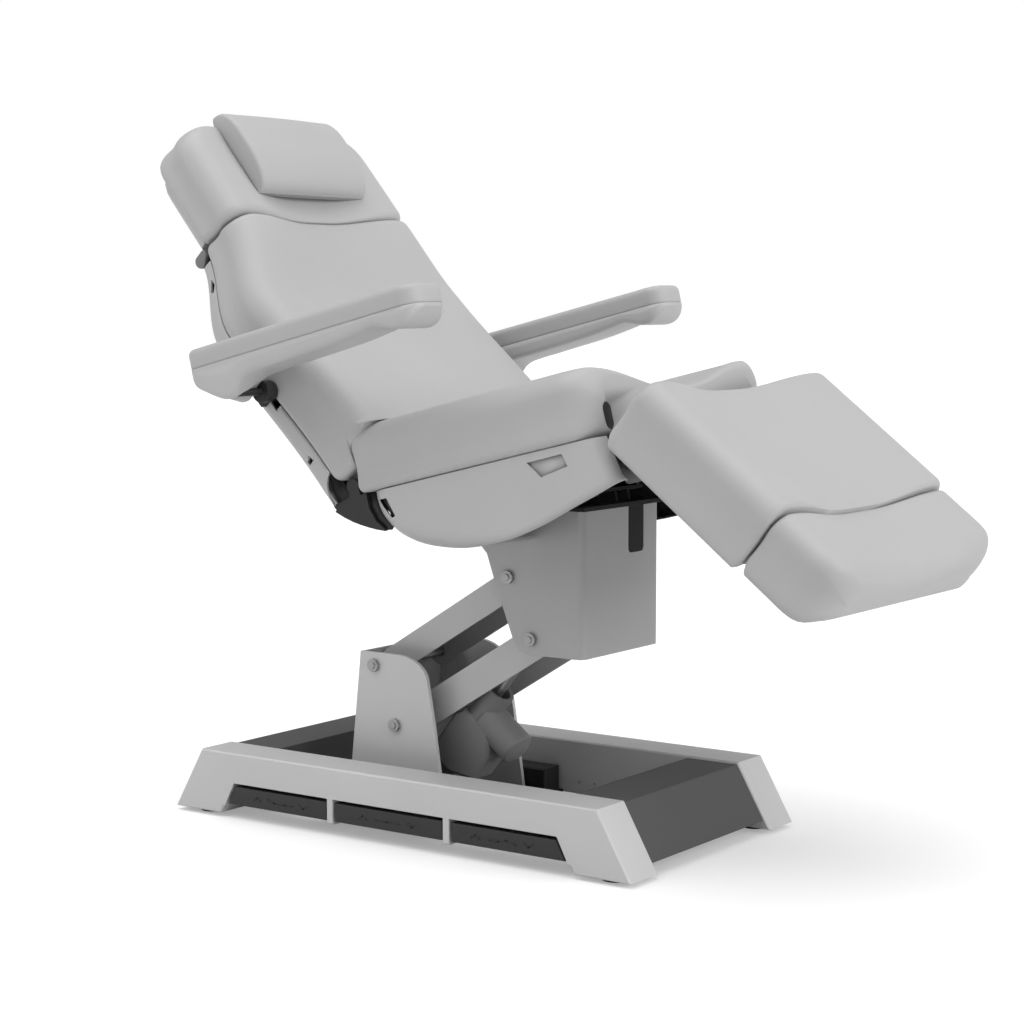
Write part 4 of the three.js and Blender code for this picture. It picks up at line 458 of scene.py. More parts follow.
cushions = {
    "seat_cushion": {
        "section": "seat", "body": "seat", "fill": 0.85,
        "start": 0, "end": 505, "halfWidth": 309, "bottom": 0, "crest": 119, "hollow": 40,
        "topRadius": 38, "bottomRadius": 12, "drawIn": 4,
        "startRound": {"along": 10, "across": 7, "roll": 10, "top": 7, "bottom": 5},
        "endRound": {"along": 58, "across": 58, "roll": 24, "top": 22, "bottom": 10},
    },
    "back_cushion": {
        "section": "back", "body": "back", "fill": 0.85,
        "start": -525, "end": 24, "halfWidth": 309, "topHalfWidth": 264, "taperStart": -330,
        "bottom": 0, "crest": 132, "topCrest": 111, "hollow": 34, "topHollow": 26,
        "topRadius": 48, "bottomRadius": 14, "drawIn": 4,
        "startRound": {"along": 16, "across": 10, "roll": 16, "top": 14, "bottom": 6},
        "endRound": {"along": 20, "across": 12, "roll": 20, "top": 16, "bottom": 16},
    },
    "head_cushion": {
        "section": "head", "body": "head", "fill": 0.85,
        "start": -222, "end": -6, "halfWidth": 264, "topHalfWidth": 262, "taperStart": -110,
        "bottom": 0, "crest": 106, "hollow": 26, "topRadius": 42, "bottomRadius": 14, "drawIn": 4,
        "startRound": {"along": 60, "across": 56, "roll": 26, "top": 9, "bottom": 26},
        "endRound": {"along": 16, "across": 10, "roll": 16, "top": 14, "bottom": 6},
    },
    "pillow": {
        "section": "head", "body": "head", "fill": 0.7,
        "start": -238, "end": -54, "halfWidth": 156,
        "bottom": 90, "crest": 143, "hollow": -2, "topRadius": 9, "bottomRadius": 3, "drawIn": -1,
        "startRound": {"along": 60, "across": 3, "roll": 60, "top": 32, "bottom": 12},
        "endRound": {"along": 84, "across": 3, "roll": 84, "top": 38, "bottom": 2},
    },
    "leg_cushion": {
        "section": "leg", "body": "leg", "fill": 0.85,
        "start": -8, "end": 307, "halfWidth": 309, "bottom": 0, "crest": 129, "hollow": 34,
        "topRadius": 38, "bottomRadius": 12, "drawIn": 4, "skirt": 8,
        "startRound": {"along": 18, "across": 14, "roll": 18, "top": 16, "bottom": 8},
        "endRound": {"along": 12, "across": 7, "roll": 12, "top": 10, "bottom": 8},
    },
    "foot_cushion": {
        "section": "leg", "body": "foot", "fill": 0.85,
        "start": 311, "end": 464, "halfWidth": 303, "bottom": 0, "crest": 119, "hollow": 28,
        "topRadius": 30, "bottomRadius": 18, "drawIn": 4, "skirt": 7,
        "startRound": {"along": 12, "across": 7, "roll": 12, "top": 10, "bottom": 8},
        "endRound": {"along": 66, "across": 78, "roll": 46, "top": 44, "bottom": 34},
    },
}


def flat(_):
    return 0.0


def restAgainst(piece):
    # The lower end of the back gives way to the rear of the seat.
    seat = cushions["seat_cushion"]
    toSeat = sectionMatrix("seat").inverted()
    fromSeat = sectionMatrix("seat")
    clear = 1.5
    for vertex in piece.data.vertices:
        place = toSeat @ vertex.co
        top = seat["crest"] + clear
        pushBack = place.x + clear
        pushUp = top - place.z
        if pushBack > 0 and pushUp > 0:
            if pushBack < pushUp:
                place.x = -clear
            else:
                place.z = top
            vertex.co = fromSeat @ place


def pillowUnderside(piece):
    # The pillow lies on the hollow of the head cushion.
    head = cushions["head_cushion"]
    toHead = sectionMatrix("head").inverted()
    fromHead = sectionMatrix("head")
    for vertex in piece.data.vertices:
        place = toHead @ vertex.co
        half = halfWidthAt(head, place.x) - head["topRadius"]
        share = clamp(1 - abs(place.y) / half)
        depth = (1 - math.cos(math.pi * min(1, share * 1.15))) / 2
        inward = place.x - head["start"]
        roll = quarter(1 - inward / head["startRound"]["roll"]) if inward > 0 else 1
        top = head["crest"] - head["hollow"] * depth * (1 - 0.35 * roll) - head["startRound"]["top"] * roll
        if inward > -1 and place.z < top + 0.6:
            place.z = top + 0.6
            vertex.co = fromHead @ place


padding = {}
for name, shape in cushions.items():
    curve = backRise if name == "back_cushion" else flat
    points, faces = closeRings(paddingRings(shape, curve))
    section, body = shape["section"], shape["body"]
    piece = makePiece(name + "_cover", points, faces, section, finishes["vinyl"], body, "vinyl")
    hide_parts(name)
    padding[name] = piece
restAgainst(padding["back_cushion"])
pillowUnderside(padding["pillow"])

# Oval pockets in the front of the seat, as the solid has them, with a lining coloured near black as painted
# shade.
pocket = {
    "rear": 468, "front": 520, "y": 246, "radius": 13, "low": 9, "high": 57,
    "wall": 1.2, "clear": 0.2, "turns": 12,
}


def ovalRing(x, side, radius):
    ring = []
    for middle, begin in ((pocket["high"] - pocket["radius"], 0), (pocket["low"] + pocket["radius"], 180)):
        for i in range(pocket["turns"] + 1):
            angle = math.radians(begin + 180 * i / pocket["turns"])
            ring.append((x, side * pocket["y"] + radius * math.cos(angle), middle + radius * math.sin(angle)))
    return ring


def prismOf(rings):
    count = len(rings[0])
    points = [point for ring in rings for point in ring]
    faces = [tuple(reversed(range(count))), tuple(range((len(rings) - 1) * count, len(rings) * count))]
    return points, faces + bandFaces(len(rings), count, count)


def applyModifiers(piece):
    depsgraph = bpy.context.evaluated_depsgraph_get()
    result = bpy.data.meshes.new_from_object(piece.evaluated_get(depsgraph))
    piece.modifiers.clear()
    piece.data = result


def thicken(piece, wall):
    thick = piece.modifiers.new("wall", "SOLIDIFY")
    thick.thickness = wall * mm
    thick.offset = -1
    applyModifiers(piece)


def cutThrough(piece, rings, section):
    points, faces = prismOf(rings)
    cutter = makePiece("cutter", points, faces, section, pocketShadeFinish, None, None)
    hole = piece.modifiers.new("cut", "BOOLEAN")
    hole.object = cutter
    hole.solver = "EXACT"
    applyModifiers(piece)
    bpy.data.objects.remove(cutter)


def cutBox(piece, box, section):
    x0, x1, y0, y1, z0, z1 = box
    corners = ((y0, z0), (y1, z0), (y1, z1), (y0, z1))
    cutThrough(piece, [[(x, y, z) for y, z in corners] for x in (x0, x1)], section)


def makePocketLining(side):
    # A thin cup: its outer wall, its rim, its inner wall and its floor, in the near-black painted shade.
    name = ("near" if side < 0 else "far") + "_pocket_lining_painted_shade"
    rear, wall = pocket["rear"], pocket["wall"]
    outer, inner = pocket["radius"] - pocket["clear"], pocket["radius"] - wall
    steps = [(rear + 0.3, outer), (seatFront - 2.5, outer), (seatFront - 1.5, inner), (rear + wall, inner)]
    rings = [ovalRing(x, side, radius) for x, radius in steps]
    points, faces = prismOf(rings)
    makePiece(name, points, faces, "seat", pocketShadeFinish, "seat", "dark_plastic")


seatFront = cushions["seat_cushion"]["end"]
for side in (-1, 1):
    rings = [ovalRing(x, side, pocket["radius"]) for x in (pocket["rear"], pocket["front"])]
    cutThrough(padding["seat_cushion"], rings, "seat")
    makePocketLining(side)
print("stage: cushions made")

# Armrest pads: an outline in plan, a rolled edge and a crowned top.
armPad = {
    "rear": -68, "front": 452, "inner": 336, "outer": 437, "low": 56.3, "top": 92,
    "tipCorner": 32, "tailCorner": 14, "edge": 12, "crown": 2.5, "turns": 8,
}


def padOutline(pad, shrink):
    left, right = pad["rear"] + shrink, pad["front"] - shrink
    near, far = -pad["outer"] + shrink, -pad["inner"] - shrink
    tip = max(pad["tipCorner"] - shrink, 1)
    tail = max(pad["tailCorner"] - shrink, 1)
    corners = [(left + tail, near + tail, tail, 180), (right - tip, near + tip, tip, 270),
               (right - tip, far - tip, tip, 0), (left + tail, far - tail, tail, 90)]
    outline = []
    for x, y, radius, begin in corners:
        for i in range(pad["turns"] + 1):
            angle = math.radians(begin + 90 * i / pad["turns"])
            outline.append((x + radius * math.cos(angle), y + radius * math.sin(angle)))
    return outline


def makeArmPad(side):
    sign = -1 if side == "far" else 1
    low, top, edge = armPad["low"], armPad["top"], armPad["edge"]
    rings = [(2.0, low), (0.6, low + 1.2), (0.0, low + 4)]
    rings.append((0.0, top - edge - 4))
    for i in range(7):
        turn = math.pi / 2 * i / 6
        rings.append((edge * (1 - math.cos(turn)), top - edge * (1 - math.sin(turn))))
    for i in range(1, 6):
        rings.append((edge + 7 * i, top + armPad["crown"] * math.sin(math.pi / 2 * i / 5)))
    points = []
    for shrink, z in rings:
        points += [(x, y * sign, z) for x, y in padOutline(armPad, shrink)]
    count = len(padOutline(armPad, 0))
    faces = bandFaces(len(rings), count, count)
    faces.append(tuple(reversed(range(count))))
    faces.append(tuple(range((len(rings) - 1) * count, len(rings) * count)))
    body = side + "_armrest"
    piece = makePiece(side + "_arm_pad", points, faces, "armrest", finishes["vinyl"], body, "vinyl")
    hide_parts(side + "_arm_cushion")


# The shell under the pad: an underside drawn through a few places, with round lower edges.
armShell = {
    "seam": 56, "edge": 11, "stations": 110,
    "slant": 46, "slantStart": -68, "slantFull": -30, "slantEnd": 130,
    "underside": [
        (-68, 44), (-62, 26), (-42, 11), (-8, -8), (10, -12), (26, -10), (40, 6), (54, 17), (76, 23), (140, 25),
        (270, 29), (330, 34), (356, 37), (376, 31), (392, 25), (410, 23), (425, 27), (440, 37), (452, 50),
    ],
}


def curveThrough(places, x):
    # A smooth curve through the places that never overshoots them.
    for (x0, z0), (x1, z1) in zip(places, places[1:]):
        if x <= x1:
            i = places.index((x0, z0))
            before = places[max(i - 1, 0)]
            after = places[min(i + 2, len(places) - 1)]
            run = x1 - x0
            slope0 = (z1 - before[1]) / max(x1 - before[0], 1) * run
            slope1 = (after[1] - z0) / max(after[0] - x0, 1) * run
            t = clamp((x - x0) / run)
            return (z0 * (2 * t ** 3 - 3 * t ** 2 + 1) + slope0 * (t ** 3 - 2 * t ** 2 + t)
                    + z1 * (3 * t ** 2 - 2 * t ** 3) + slope1 * (t ** 3 - t ** 2))
    return places[-1][1]


def halfRing(x, reach, low, shell):
    edge = min(shell["edge"], (shell["seam"] - low) * 0.7, reach * 0.8)
    ring = [(x, reach, shell["seam"]), (x, reach, (shell["seam"] + low + edge) / 2)]
    for turn in (0, 22.5, 45, 67.5, 90):
        angle = math.radians(turn)
        ring.append((x, reach - edge + edge * math.cos(angle), low + edge - edge * math.sin(angle)))
    return ring


def makeArmShell(side):
    pad, shell = armPad, armShell
    sign = -1 if side == "far" else 1
    middle = (pad["inner"] + pad["outer"]) / 2
    half = (pad["outer"] - pad["inner"]) / 2
    length = pad["front"] - pad["rear"]
    rings = []
    for i in range(shell["stations"] + 1):
        # Stations crowd towards both ends, where the plan turns.
        x = pad["rear"] + length * (1 - math.cos(math.pi * i / shell["stations"])) / 2
        tail = pad["tailCorner"] * quarter(1 - (x - pad["rear"]) / pad["tailCorner"])
        tip = pad["tipCorner"] * quarter(1 - (pad["front"] - x) / pad["tipCorner"])
        reach = max(half - tail - tip, 6)
        # The deep end runs out sooner on the inner side.
        start, full, end = shell["slantStart"], shell["slantFull"], shell["slantEnd"]
        shift = shell["slant"] * smoothStep((x - start) / (full - start))
        shift *= 1 - smoothStep((x - full) / (end - full))
        inner = halfRing(x, reach, curveThrough(shell["underside"], x + shift), shell)
        outer = halfRing(x, reach, curveThrough(shell["underside"], x), shell)
        ring = inner + [(x, -y, z) for x, y, z in reversed(outer)]
        rings.append([(x, sign * (y - middle), z) for x, y, z in ring])
    points, faces = prismOf(rings)
    piece = makePiece(side + "_arm_underside", points, faces, "armrest", finishes["pale_plastic"],
                      side + "_armrest", "pale_plastic")
    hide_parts(side + "_arm_shell")


for side in ("near", "far"):
    makeArmPad(side)
    makeArmShell(side)
print("stage: armrests made")

# The slots of the seat shell, and the linings behind them.
slots = {
    "depths": {"rear": (279.5, 276.5), "front": (296.6, 293.6)}, "grow": 6, "shift": {"rear": -8, "front": 0},
    "rear": [(31, -17), (53, -18), (66, -52), (56, -54)],
    "front": [(361, -16), (434, -15), (441, -37), (384, -45)],
}


def growOutline(outline, amount):
    middleX = sum(x for x, _ in outline) / len(outline)
    middleZ = sum(z for _, z in outline) / len(outline)
    grown = []
    for x, z in outline:
        away = Vector((x - middleX, z - middleZ))
        moved = away + away.normalized() * amount
        grown.append((middleX + moved.x, middleZ + moved.y))
    return grown


# The seat shell: a tray with rounded lower edges, open below at the front, where its sides
# run on as plain walls.
seatShell = {
    "half": 301, "top": -1.5, "wall": 4, "rear": 4, "front": 528, "rearCorner": 58, "frontCorner": 28,
    "rearBend": 46, "frontBend": 12, "bendStart": 110, "bendEnd": 300, "closedEnd": 236, "lip": 5,
    "slant": 18, "slantStart": 470, "stations": 70, "bendSteps": 6, "lipInner": 265,
    "belowGap": (88, 240, 139), "leverGap": (-3, 33, -85, -55, -56), "lugGap": (-3, 16, 237, 253, -92),
    "belly": [(4, -27), (14, -52), (33, -72), (78, -104), (139, -125), (204, -134), (290, -134), (363, -122),
              (429, -105), (493, -89), (540, -74)],
    "band": {
        "x": 502, "thickness": 4, "low": -44,
        "kneeInner": 230, "kneeLow": -60, "kneeHigh": -49, "lever": [-27, 9],
    },
}


def shellHalfWidth(x):
    shell = seatShell
    rear = shell["rearCorner"] * quarter(1 - (x - shell["rear"]) / shell["rearCorner"])
    front = shell["frontCorner"] * quarter(1 - (shell["front"] - x) / shell["frontCorner"])
    return shell["half"] - rear - front


def shellSection(x):
    # From the top of a side down its wall, round the bend and in to the edge of its lip.
    shell = seatShell
    half = shellHalfWidth(x)
    low = curveThrough(shell["belly"], x)
    share = smoothStep((x - shell["bendStart"]) / (shell["bendEnd"] - shell["bendStart"]))
    bend = shell["rearBend"] + (shell["frontBend"] - shell["rearBend"]) * share
    bend = min(bend, (shell["top"] - low) * 0.8)
    depth = shell["top"] - low - bend
    section = [(half, shell["top"] - depth * i / 6) for i in range(7)]
    for i in range(1, shell["bendSteps"] + 1):
        turn = math.pi / 2 * i / shell["bendSteps"]
        section.append((half - bend + bend * math.cos(turn), low + bend - bend * math.sin(turn)))
    section.append((half - bend - shell["lip"], low))
    if x > shell["closedEnd"]:
        section = [(max(y, shell["lipInner"]), z) for y, z in section]
    lean = shell["slant"] * smoothStep((x - shell["slantStart"]) / (shell["front"] - shell["slantStart"]))
    return [(x - lean * (z - low) / (shell["top"] - low), y, z) for y, z in section]


def addBox(points, faces, low, high):
    start = len(points)
    points += [(x, y, z) for x in (low[0], high[0]) for y in (low[1], high[1]) for z in (low[2], high[2])]
    box = [(0, 1, 3, 2), (4, 6, 7, 5), (0, 4, 5, 1), (2, 3, 7, 6), (0, 2, 6, 4), (1, 5, 7, 3)]
    faces += [tuple(start + i for i in face) for face in box]


def makeShellSkin():
    shell = seatShell
    points, faces = [], []
    length = shell["front"] - shell["rear"]
    sections = []
    for i in range(shell["stations"] + 1):
        x = shell["rear"] + length * (1 - math.cos(math.pi * i / shell["stations"])) / 2
        half = shellSection(x)
        sections.append(half + [(px, -y, z) for px, y, z in reversed(half)])
    count = len(sections[0])
    middle = count // 2 - 1
    for section in sections:
        points += section
    for r in range(len(sections) - 1):
        closed = sections[r + 1][middle][0] < shell["closedEnd"]
        for i in range(count - 1):
            if i != middle or closed:
                a = r * count + i
                faces.append((a, a + 1, a + 1 + count, a + count))
    faces.append(tuple(range(count)))
    return points, faces


def makeShellBand():
    # The low wall across the front, cut away where the arms and the lever of the leg pass; it belongs to the
    # pale shell but is coloured near black as painted shade.
    shell, band = seatShell, seatShell["band"]
    x0, x1 = band["x"], band["x"] + band["thickness"]
    knee, side = band["kneeInner"], shell["half"] - shell["wall"] - 1
    points, faces = [], []
    for y0, y1 in ((-knee, band["lever"][0]), (band["lever"][1], knee)):
        addBox(points, faces, (x0, y0, band["low"]), (x1, y1, shell["top"] - 2))
    for sign in (-1, 1):
        near, far = sorted((sign * (knee - 8), sign * side))
        addBox(points, faces, (x0, near, band["kneeLow"]), (x1, far, band["kneeHigh"]))
        near, far = sorted((sign * (knee - 8), sign * knee))
        addBox(points, faces, (x0, near, band["kneeLow"]), (x1, far, band["low"] + 1))
    return points, faces


def makeSeatShell():
    shell = seatShell
    points, faces = makeShellSkin()
    piece = makePiece("seat_shell_skin", points, faces, "seat", seatShellFinish, "seat", "pale_plastic")
    thicken(piece, shell["wall"])
    reach = (shell["half"] + 5, shell["half"] - shell["wall"] - 14)
    for place in ("rear", "front"):
        for sign in (-1, 1):
            rings = [[(x, sign * y, z) for x, z in slots[place]] for y in reach]
            cutThrough(piece, rings, "seat")
    x0, x1, half = shell["belowGap"]
    gaps = [(x0, x1, -half, half, -200, -44)]
    x0, x1, y0, y1, low = shell["leverGap"]
    gaps.append((x0, x1, y0, y1, low, 5))
    x0, x1, y0, y1, low = shell["lugGap"]
    gaps += [(x0, x1, *sorted((sign * y0, sign * y1)), low, 5) for sign in (-1, 1)]
    for gap in gaps:
        cutBox(piece, gap, "seat")
    easeEdges(piece, 1.0, 50, 50)
    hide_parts("seat_shell")
    points, faces = makeShellBand()
    # The band takes the near-black pedal plastic as painted shade.
    makePiece("seat_shell_band_painted_shade", points, faces, "seat", finishes["dark_plastic"], "seat", "pale_plastic")


# The back shell: a tray under the curved padding, with a scalloped lower end round the hip.
backShell = {
    "start": -508, "end": 44, "inset": 5, "wall": 4, "bend": 20,
    "top": 0.5, "bottom": -41, "upperBottom": -31,
    "stations": 46, "bendSteps": 5, "scallop": 49, "hip": (41.7, 17.1),
    "lever": (-9, 9, -70), "coverSlot": {"start": -24, "inner": 282.5, "outer": 293.5},
    "armGap": {"from": -232, "to": -166, "inner": 285, "low": -22},
    "slots": [
        [(-54, -16), (-44, -14), (-42, -25), (-50, -27)],
        [(-468, -5), (-452, -2), (-440, -12), (-446, -18)],
    ],
}


def backShellSection(x):
    shell = backShell
    cushion = cushions["back_cushion"]
    half = halfWidthAt(cushion, x) - shell["inset"]
    rise = backRise(x)
    top = rise + shell["top"]
    share = smoothStep((x - shell["start"]) / 160)
    low = rise + shell["upperBottom"] + (shell["bottom"] - shell["upperBottom"]) * share
    bend = shell["bend"]
    depth = top - low - bend
    section = [(half, top - depth * i / 3) for i in range(4)]
    for i in range(1, shell["bendSteps"] + 1):
        turn = math.pi / 2 * i / shell["bendSteps"]
        section.append((half - bend + bend * math.cos(turn), low + bend - bend * math.sin(turn)))
    section += [((half - bend) * (1 - i / 4), low) for i in range(1, 4)]
    return [(x, y, z) for y, z in section]


def makeBackShell():
    shell = backShell
    sections = []
    for i in range(shell["stations"] + 1):
        x = shell["start"] + (shell["end"] - shell["start"]) * i / shell["stations"]
        half = backShellSection(x)
        sections.append(half + [(px, -y, z) for px, y, z in reversed(half)])
    count = len(sections[0])
    points = [point for section in sections for point in section]
    faces = bandFaces(len(sections), count, count - 1)
    faces.append(tuple(range(count)))
    finish = finishes["pale_plastic"]
    piece = makePiece("back_shell_skin", points, faces, "back", finish, "back", "pale_plastic")
    thicken(piece, shell["wall"])
    hipX, hipZ = shell["hip"]
    turns = [2 * math.pi * i / 48 for i in range(48)]
    circle = [(hipX + shell["scallop"] * math.cos(t), hipZ + shell["scallop"] * math.sin(t)) for t in turns]
    cutThrough(piece, [[(x, y, z) for x, z in circle] for y in (-320, 320)], "back")
    low, high = -90, 40
    cover, arm = shell["coverSlot"], shell["armGap"]
    lever = shell["lever"][2]
    boxes = [(0, 60, lever + shell["lever"][0], lever + shell["lever"][1], low, high)]
    for sign in (-1, 1):
        boxes.append((cover["start"], 60, *sorted((sign * cover["inner"], sign * cover["outer"])), low, high))
        boxes.append((arm["from"], arm["to"], *sorted((sign * arm["inner"], sign * 330)), arm["low"], high))
        boxes.append((shell["start"] - 5, shell["start"] + 8, *sorted((sign * 212, sign * 262)), low, high))
    for box in boxes:
        cutBox(piece, box, "back")
    for outline in shell["slots"]:
        for sign in (-1, 1):
            cutThrough(piece, [[(x, sign * y, z) for x, z in outline] for y in (330, 250)], "back")
    easeEdges(piece, 1.0, 50, 50)
    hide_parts("back_shell")


makeSeatShell()
makeBackShell()

# Black plates behind the hip covers: one turns with the back, one closes the corner of the seat shell.
hipGuard = {
    "radius": 53, "from": 200, "to": 300, "turns": 14, "top": -2, "inner": 276.4, "outer": 279.4,
    "webInner": 280.6, "webOuter": 283.6,
    "web": [(-12, -2), (19, -2), (19, -30), (40, -52), (46, -66), (38, -73), (30, -72), (12, -66), (-12, -58)],
}


def makeHipGuards(side, sign):
    guard = hipGuard
    hipX, hipZ = backShell["hip"]
    outline = [(hipX - 18, guard["top"])]
    for i in range(guard["turns"] + 1):
        angle = math.radians(guard["from"] + (guard["to"] - guard["from"]) * i / guard["turns"])
        x = hipX + guard["radius"] * math.cos(angle)
        outline.append((x, min(guard["top"], hipZ + guard["radius"] * math.sin(angle))))
    outline.append((hipX + 8, hipZ - 14))
    black = finishes["black_paint"]
    rings = [[(x, sign * y, z) for x, z in outline] for y in (guard["inner"], guard["outer"])]
    makePiece(side + "_hip_guard", *prismOf(rings), "back", black, "back", "black_paint")
    rings = [[(x, sign * y, z) for x, z in guard["web"]] for y in (guard["webInner"], guard["webOuter"])]
    makePiece(side + "_hip_web", *prismOf(rings), "seat", black, "seat", "black_paint")


# Grey end caps on the hinge bar of the head.
hingeCap = {
    "x": -519, "z": -13, "radius": 13, "tip": (-5, 14, 8.5),
    "inner": 240, "outer": 256, "edge": 2.5, "turns": 24,
}


def makeHingeCap(side, sign):
    cap = hingeCap
    steps = [(cap["inner"], cap["radius"]), (cap["outer"] - cap["edge"], cap["radius"])]
    steps += [(cap["outer"] - 0.7, cap["radius"] - 0.8), (cap["outer"], cap["radius"] - cap["edge"])]
    rings = []
    tipX, tipZ, tipRadius = cap["tip"]
    lean = math.atan2(tipZ, tipX) - math.pi / 2
    for y, radius in steps:
        ring = []
        small = tipRadius - cap["radius"] + radius
        for x, z, size, begin in ((tipX, tipZ, small, lean), (0, 0, radius, lean + math.pi)):
            for i in range(cap["turns"] + 1):
                turn = begin + math.pi * i / cap["turns"]
                across, up = size * math.cos(turn), size * math.sin(turn)
                ring.append((cap["x"] + x + across, sign * y, cap["z"] + z + up))
        rings.append(ring)
    piece = side + "_head_hinge_cap"
    makePiece(piece, *prismOf(rings), "back", finishes["drive_plastic"], "back", "dark_plastic")


for side, sign in (("near", -1), ("far", 1)):
    makeHipGuards(side, sign)
    makeHingeCap(side, sign)
for side, sign in (("near", -1), ("far", 1)):
    for place in ("rear", "front"):
        outline = growOutline([(x + slots["shift"][place], z) for x, z in slots[place]], slots["grow"])
        rings = [[(x, sign * depth, z) for x, z in outline] for depth in slots["depths"][place]]
        piece = f"{side}_{place}_slot_lining"
        makePiece(piece, *prismOf(rings), "seat", finishes["pale_plastic"], "seat", "pale_plastic")
print("stage: slot linings made")

# Symbols on the pedals: a chevron up, a plain line for the moving section, and a chevron down.
symbols = {
    "face": 279.0, "proud": 0.5, "stroke": 2.6, "middle": 45,
    "chevronPlace": 56, "chevronWide": 9, "chevronHigh": 6,
    "pedalMiddles": {"head": -252.25, "middle": 0.0, "foot": 252.25},
    "lines": {
        "head": [(-30, 3), (-12, -2), (12, -2), (30, -2)],
        "middle": [(-28, -1), (0, -1), (28, -1)],
        "foot": [(-28, -2), (-8, -2), (8, 2), (30, -3)],
    },
}


def strokeParts(path, sign):
    # One flat bar for each stretch of a path, closed, so that a symbol is a few small solids.
    points, faces = [], []
    half = symbols["stroke"] / 2
    outer, inner = symbols["face"] + symbols["proud"], symbols["face"] - 1
    for (x0, z0), (x1, z1) in zip(path, path[1:]):
        along = Vector((x1 - x0, z1 - z0)).normalized() * half
        side = Vector((-along.y, along.x))
        begin = Vector((x0, z0)) - along
        end = Vector((x1, z1)) + along
        corners = [begin - side, end - side, end + side, begin + side]
        start = len(points)
        points += [(x, sign * outer, z) for x, z in corners] + [(x, sign * inner, z) for x, z in corners]
        box = [(0, 1, 2, 3), (7, 6, 5, 4), (0, 4, 5, 1), (1, 5, 6, 2), (2, 6, 7, 3), (3, 7, 4, 0)]
        faces += [tuple(start + i for i in face) for face in box]
    return points, faces


def makeSymbols(side, place):
    sign = -1 if side == "near" else 1
    middleX = symbols["pedalMiddles"][place]
    wide, high = symbols["chevronWide"], symbols["chevronHigh"]
    paths = [symbols["lines"][place]]
    for offset, rise in ((-symbols["chevronPlace"], 1), (symbols["chevronPlace"], -1)):
        tip, foot = rise * high / 2, -rise * high / 2
        paths.append([(offset - wide, foot), (offset, tip), (offset + wide, foot)])
    points, faces = [], []
    for path in paths:
        moved = [(middleX - sign * x, symbols["middle"] + z) for x, z in path]
        morePoints, moreFaces = strokeParts(moved, sign)
        faces += [tuple(len(points) + i for i in face) for face in moreFaces]
        points += morePoints
    body = f"{side}_pedal_{place}"
    makePiece(body + "_symbols", points, faces, "base", iconFinish, body, "dark_plastic")


for side in ("near", "far"):
    for place in symbols["lines"]:
        makeSymbols(side, place)
print("stage: pedal symbols made")

# Camera at the photograph's place and angle.
cameraPlace = {"x": 2.4642, "y": -3.3659, "z": 0.9667, "azimuth": 35.36, "elevation": 5.316, "lens": 79.07}
cameraData = bpy.data.cameras.new("camera")
camera = bpy.data.objects.new("camera", cameraData)
scene.collection.objects.link(camera)
camera.location = (cameraPlace["x"] + baseX, cameraPlace["y"], cameraPlace["z"])
camera.rotation_euler = (math.radians(90 - cameraPlace["elevation"]), 0, math.radians(cameraPlace["azimuth"]))
cameraData.lens = cameraPlace["lens"]
cameraData.sensor_width = 36
cameraData.clip_end = 100
scene.camera = camera

# Floor: white to the camera, with the shadow kept.
studio = {"floorReach": 40, "floorShade": 0.75, "floorGlow": 0.31, "ambient": 0.42}
floorMesh = bpy.data.meshes.new("floor")
reach = studio["floorReach"]
corners = [(-reach, -reach, 0), (reach, -reach, 0), (reach, reach, 0), (-reach, reach, 0)]
floorMesh.from_pydata(corners, [], [(0, 1, 2, 3)])
floor = bpy.data.objects.new("floor", floorMesh)
scene.collection.objects.link(floor)
floorFinish = Finish("white_floor", grey(0.8), 0.9)
glow = floorFinish.node("ShaderNodeLightPath", out="Is Camera Ray")
tree = floorFinish.tree
plainFloor = tree.nodes.new("ShaderNodeBsdfDiffuse")
plainFloor.inputs["Color"].default_value = (*grey(studio["floorShade"]), 1)
brightFloor = tree.nodes.new("ShaderNodeEmission")
brightFloor.inputs["Strength"].default_value = studio["floorGlow"]
together = tree.nodes.new("ShaderNodeAddShader")
tree.links.new(plainFloor.outputs[0], together.inputs[0])
tree.links.new(brightFloor.outputs[0], together.inputs[1])
chosen = tree.nodes.new("ShaderNodeMixShader")
tree.links.new(glow.socket, chosen.inputs[0])
tree.links.new(plainFloor.outputs[0], chosen.inputs[1])
tree.links.new(together.outputs[0], chosen.inputs[2])
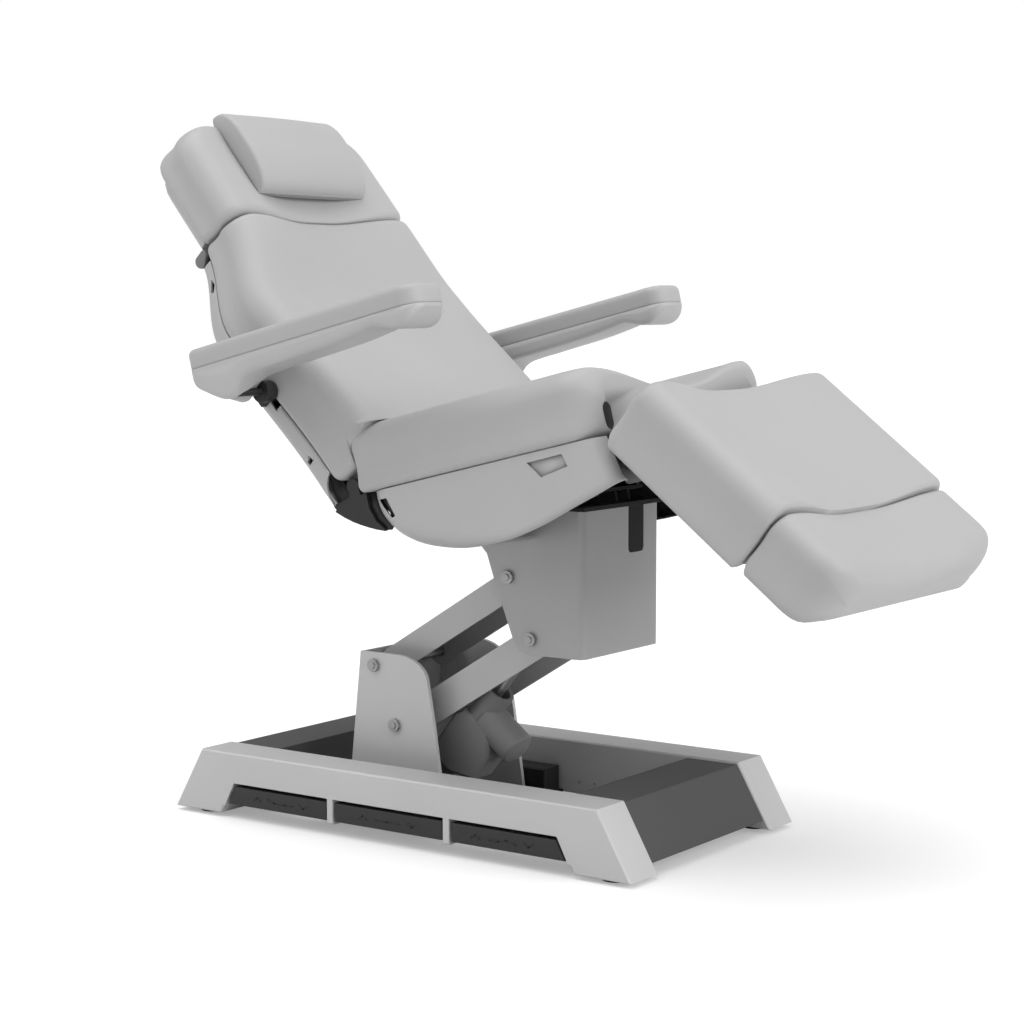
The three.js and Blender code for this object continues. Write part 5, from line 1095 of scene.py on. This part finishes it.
tree.links.new(chosen.outputs[0], floorFinish.output.inputs["Surface"])
floorMesh.materials.append(floorFinish.material)

# World: white behind the object, a soft even light on it.
world = bpy.data.worlds.new("studio")
scene.world = world
world.use_nodes = True
skyTree = world.node_tree
skyTree.nodes.clear()
paths = skyTree.nodes.new("ShaderNodeLightPath")
seen = skyTree.nodes.new("ShaderNodeMath")
seen.operation = "MAXIMUM"
skyTree.links.new(paths.outputs["Is Camera Ray"], seen.inputs[0])
skyTree.links.new(paths.outputs["Is Transmission Ray"], seen.inputs[1])
ambient = skyTree.nodes.new("ShaderNodeBackground")
ambient.inputs["Strength"].default_value = studio["ambient"]
backdrop = skyTree.nodes.new("ShaderNodeBackground")
backdrop.inputs["Color"].default_value = (1, 1, 1, 1)
ambient.inputs["Color"].default_value = (1, 1, 1, 1)
choose = skyTree.nodes.new("ShaderNodeMixShader")
skyTree.links.new(seen.outputs[0], choose.inputs[0])
skyTree.links.new(ambient.outputs[0], choose.inputs[1])
skyTree.links.new(backdrop.outputs[0], choose.inputs[2])
skyOut = skyTree.nodes.new("ShaderNodeOutputWorld")
skyTree.links.new(choose.outputs[0], skyOut.inputs["Surface"])

lamps = {
    "overhead_sun": {"kind": "SUN", "place": (-0.3, -0.7, 4.0), "size": 70, "power": 1.9},
    "near_side": {"kind": "AREA", "place": (-2.6, -3.4, 2.4), "size": 2.2, "power": 19},
    "foot_side": {"kind": "SUN", "place": (3.8, 0.5, 1.5), "size": 60, "power": 2.1},
}
for name, lamp in lamps.items():
    data = bpy.data.lights.new(name, lamp["kind"])
    data.energy = lamp["power"]
    if lamp["kind"] == "SUN":
        data.angle = math.radians(lamp["size"])
    else:
        data.shape = "DISK"
        data.size = lamp["size"]
    light = bpy.data.objects.new(name, data)
    scene.collection.objects.link(light)
    light.location = lamp["place"]
    aim = Vector((0, 0, 0.7)) - Vector(lamp["place"])
    light.rotation_euler = aim.to_track_quat("-Z", "Y").to_euler()

scene.view_settings.view_transform = "Standard"
print("stage: camera, floor and lamps placed")
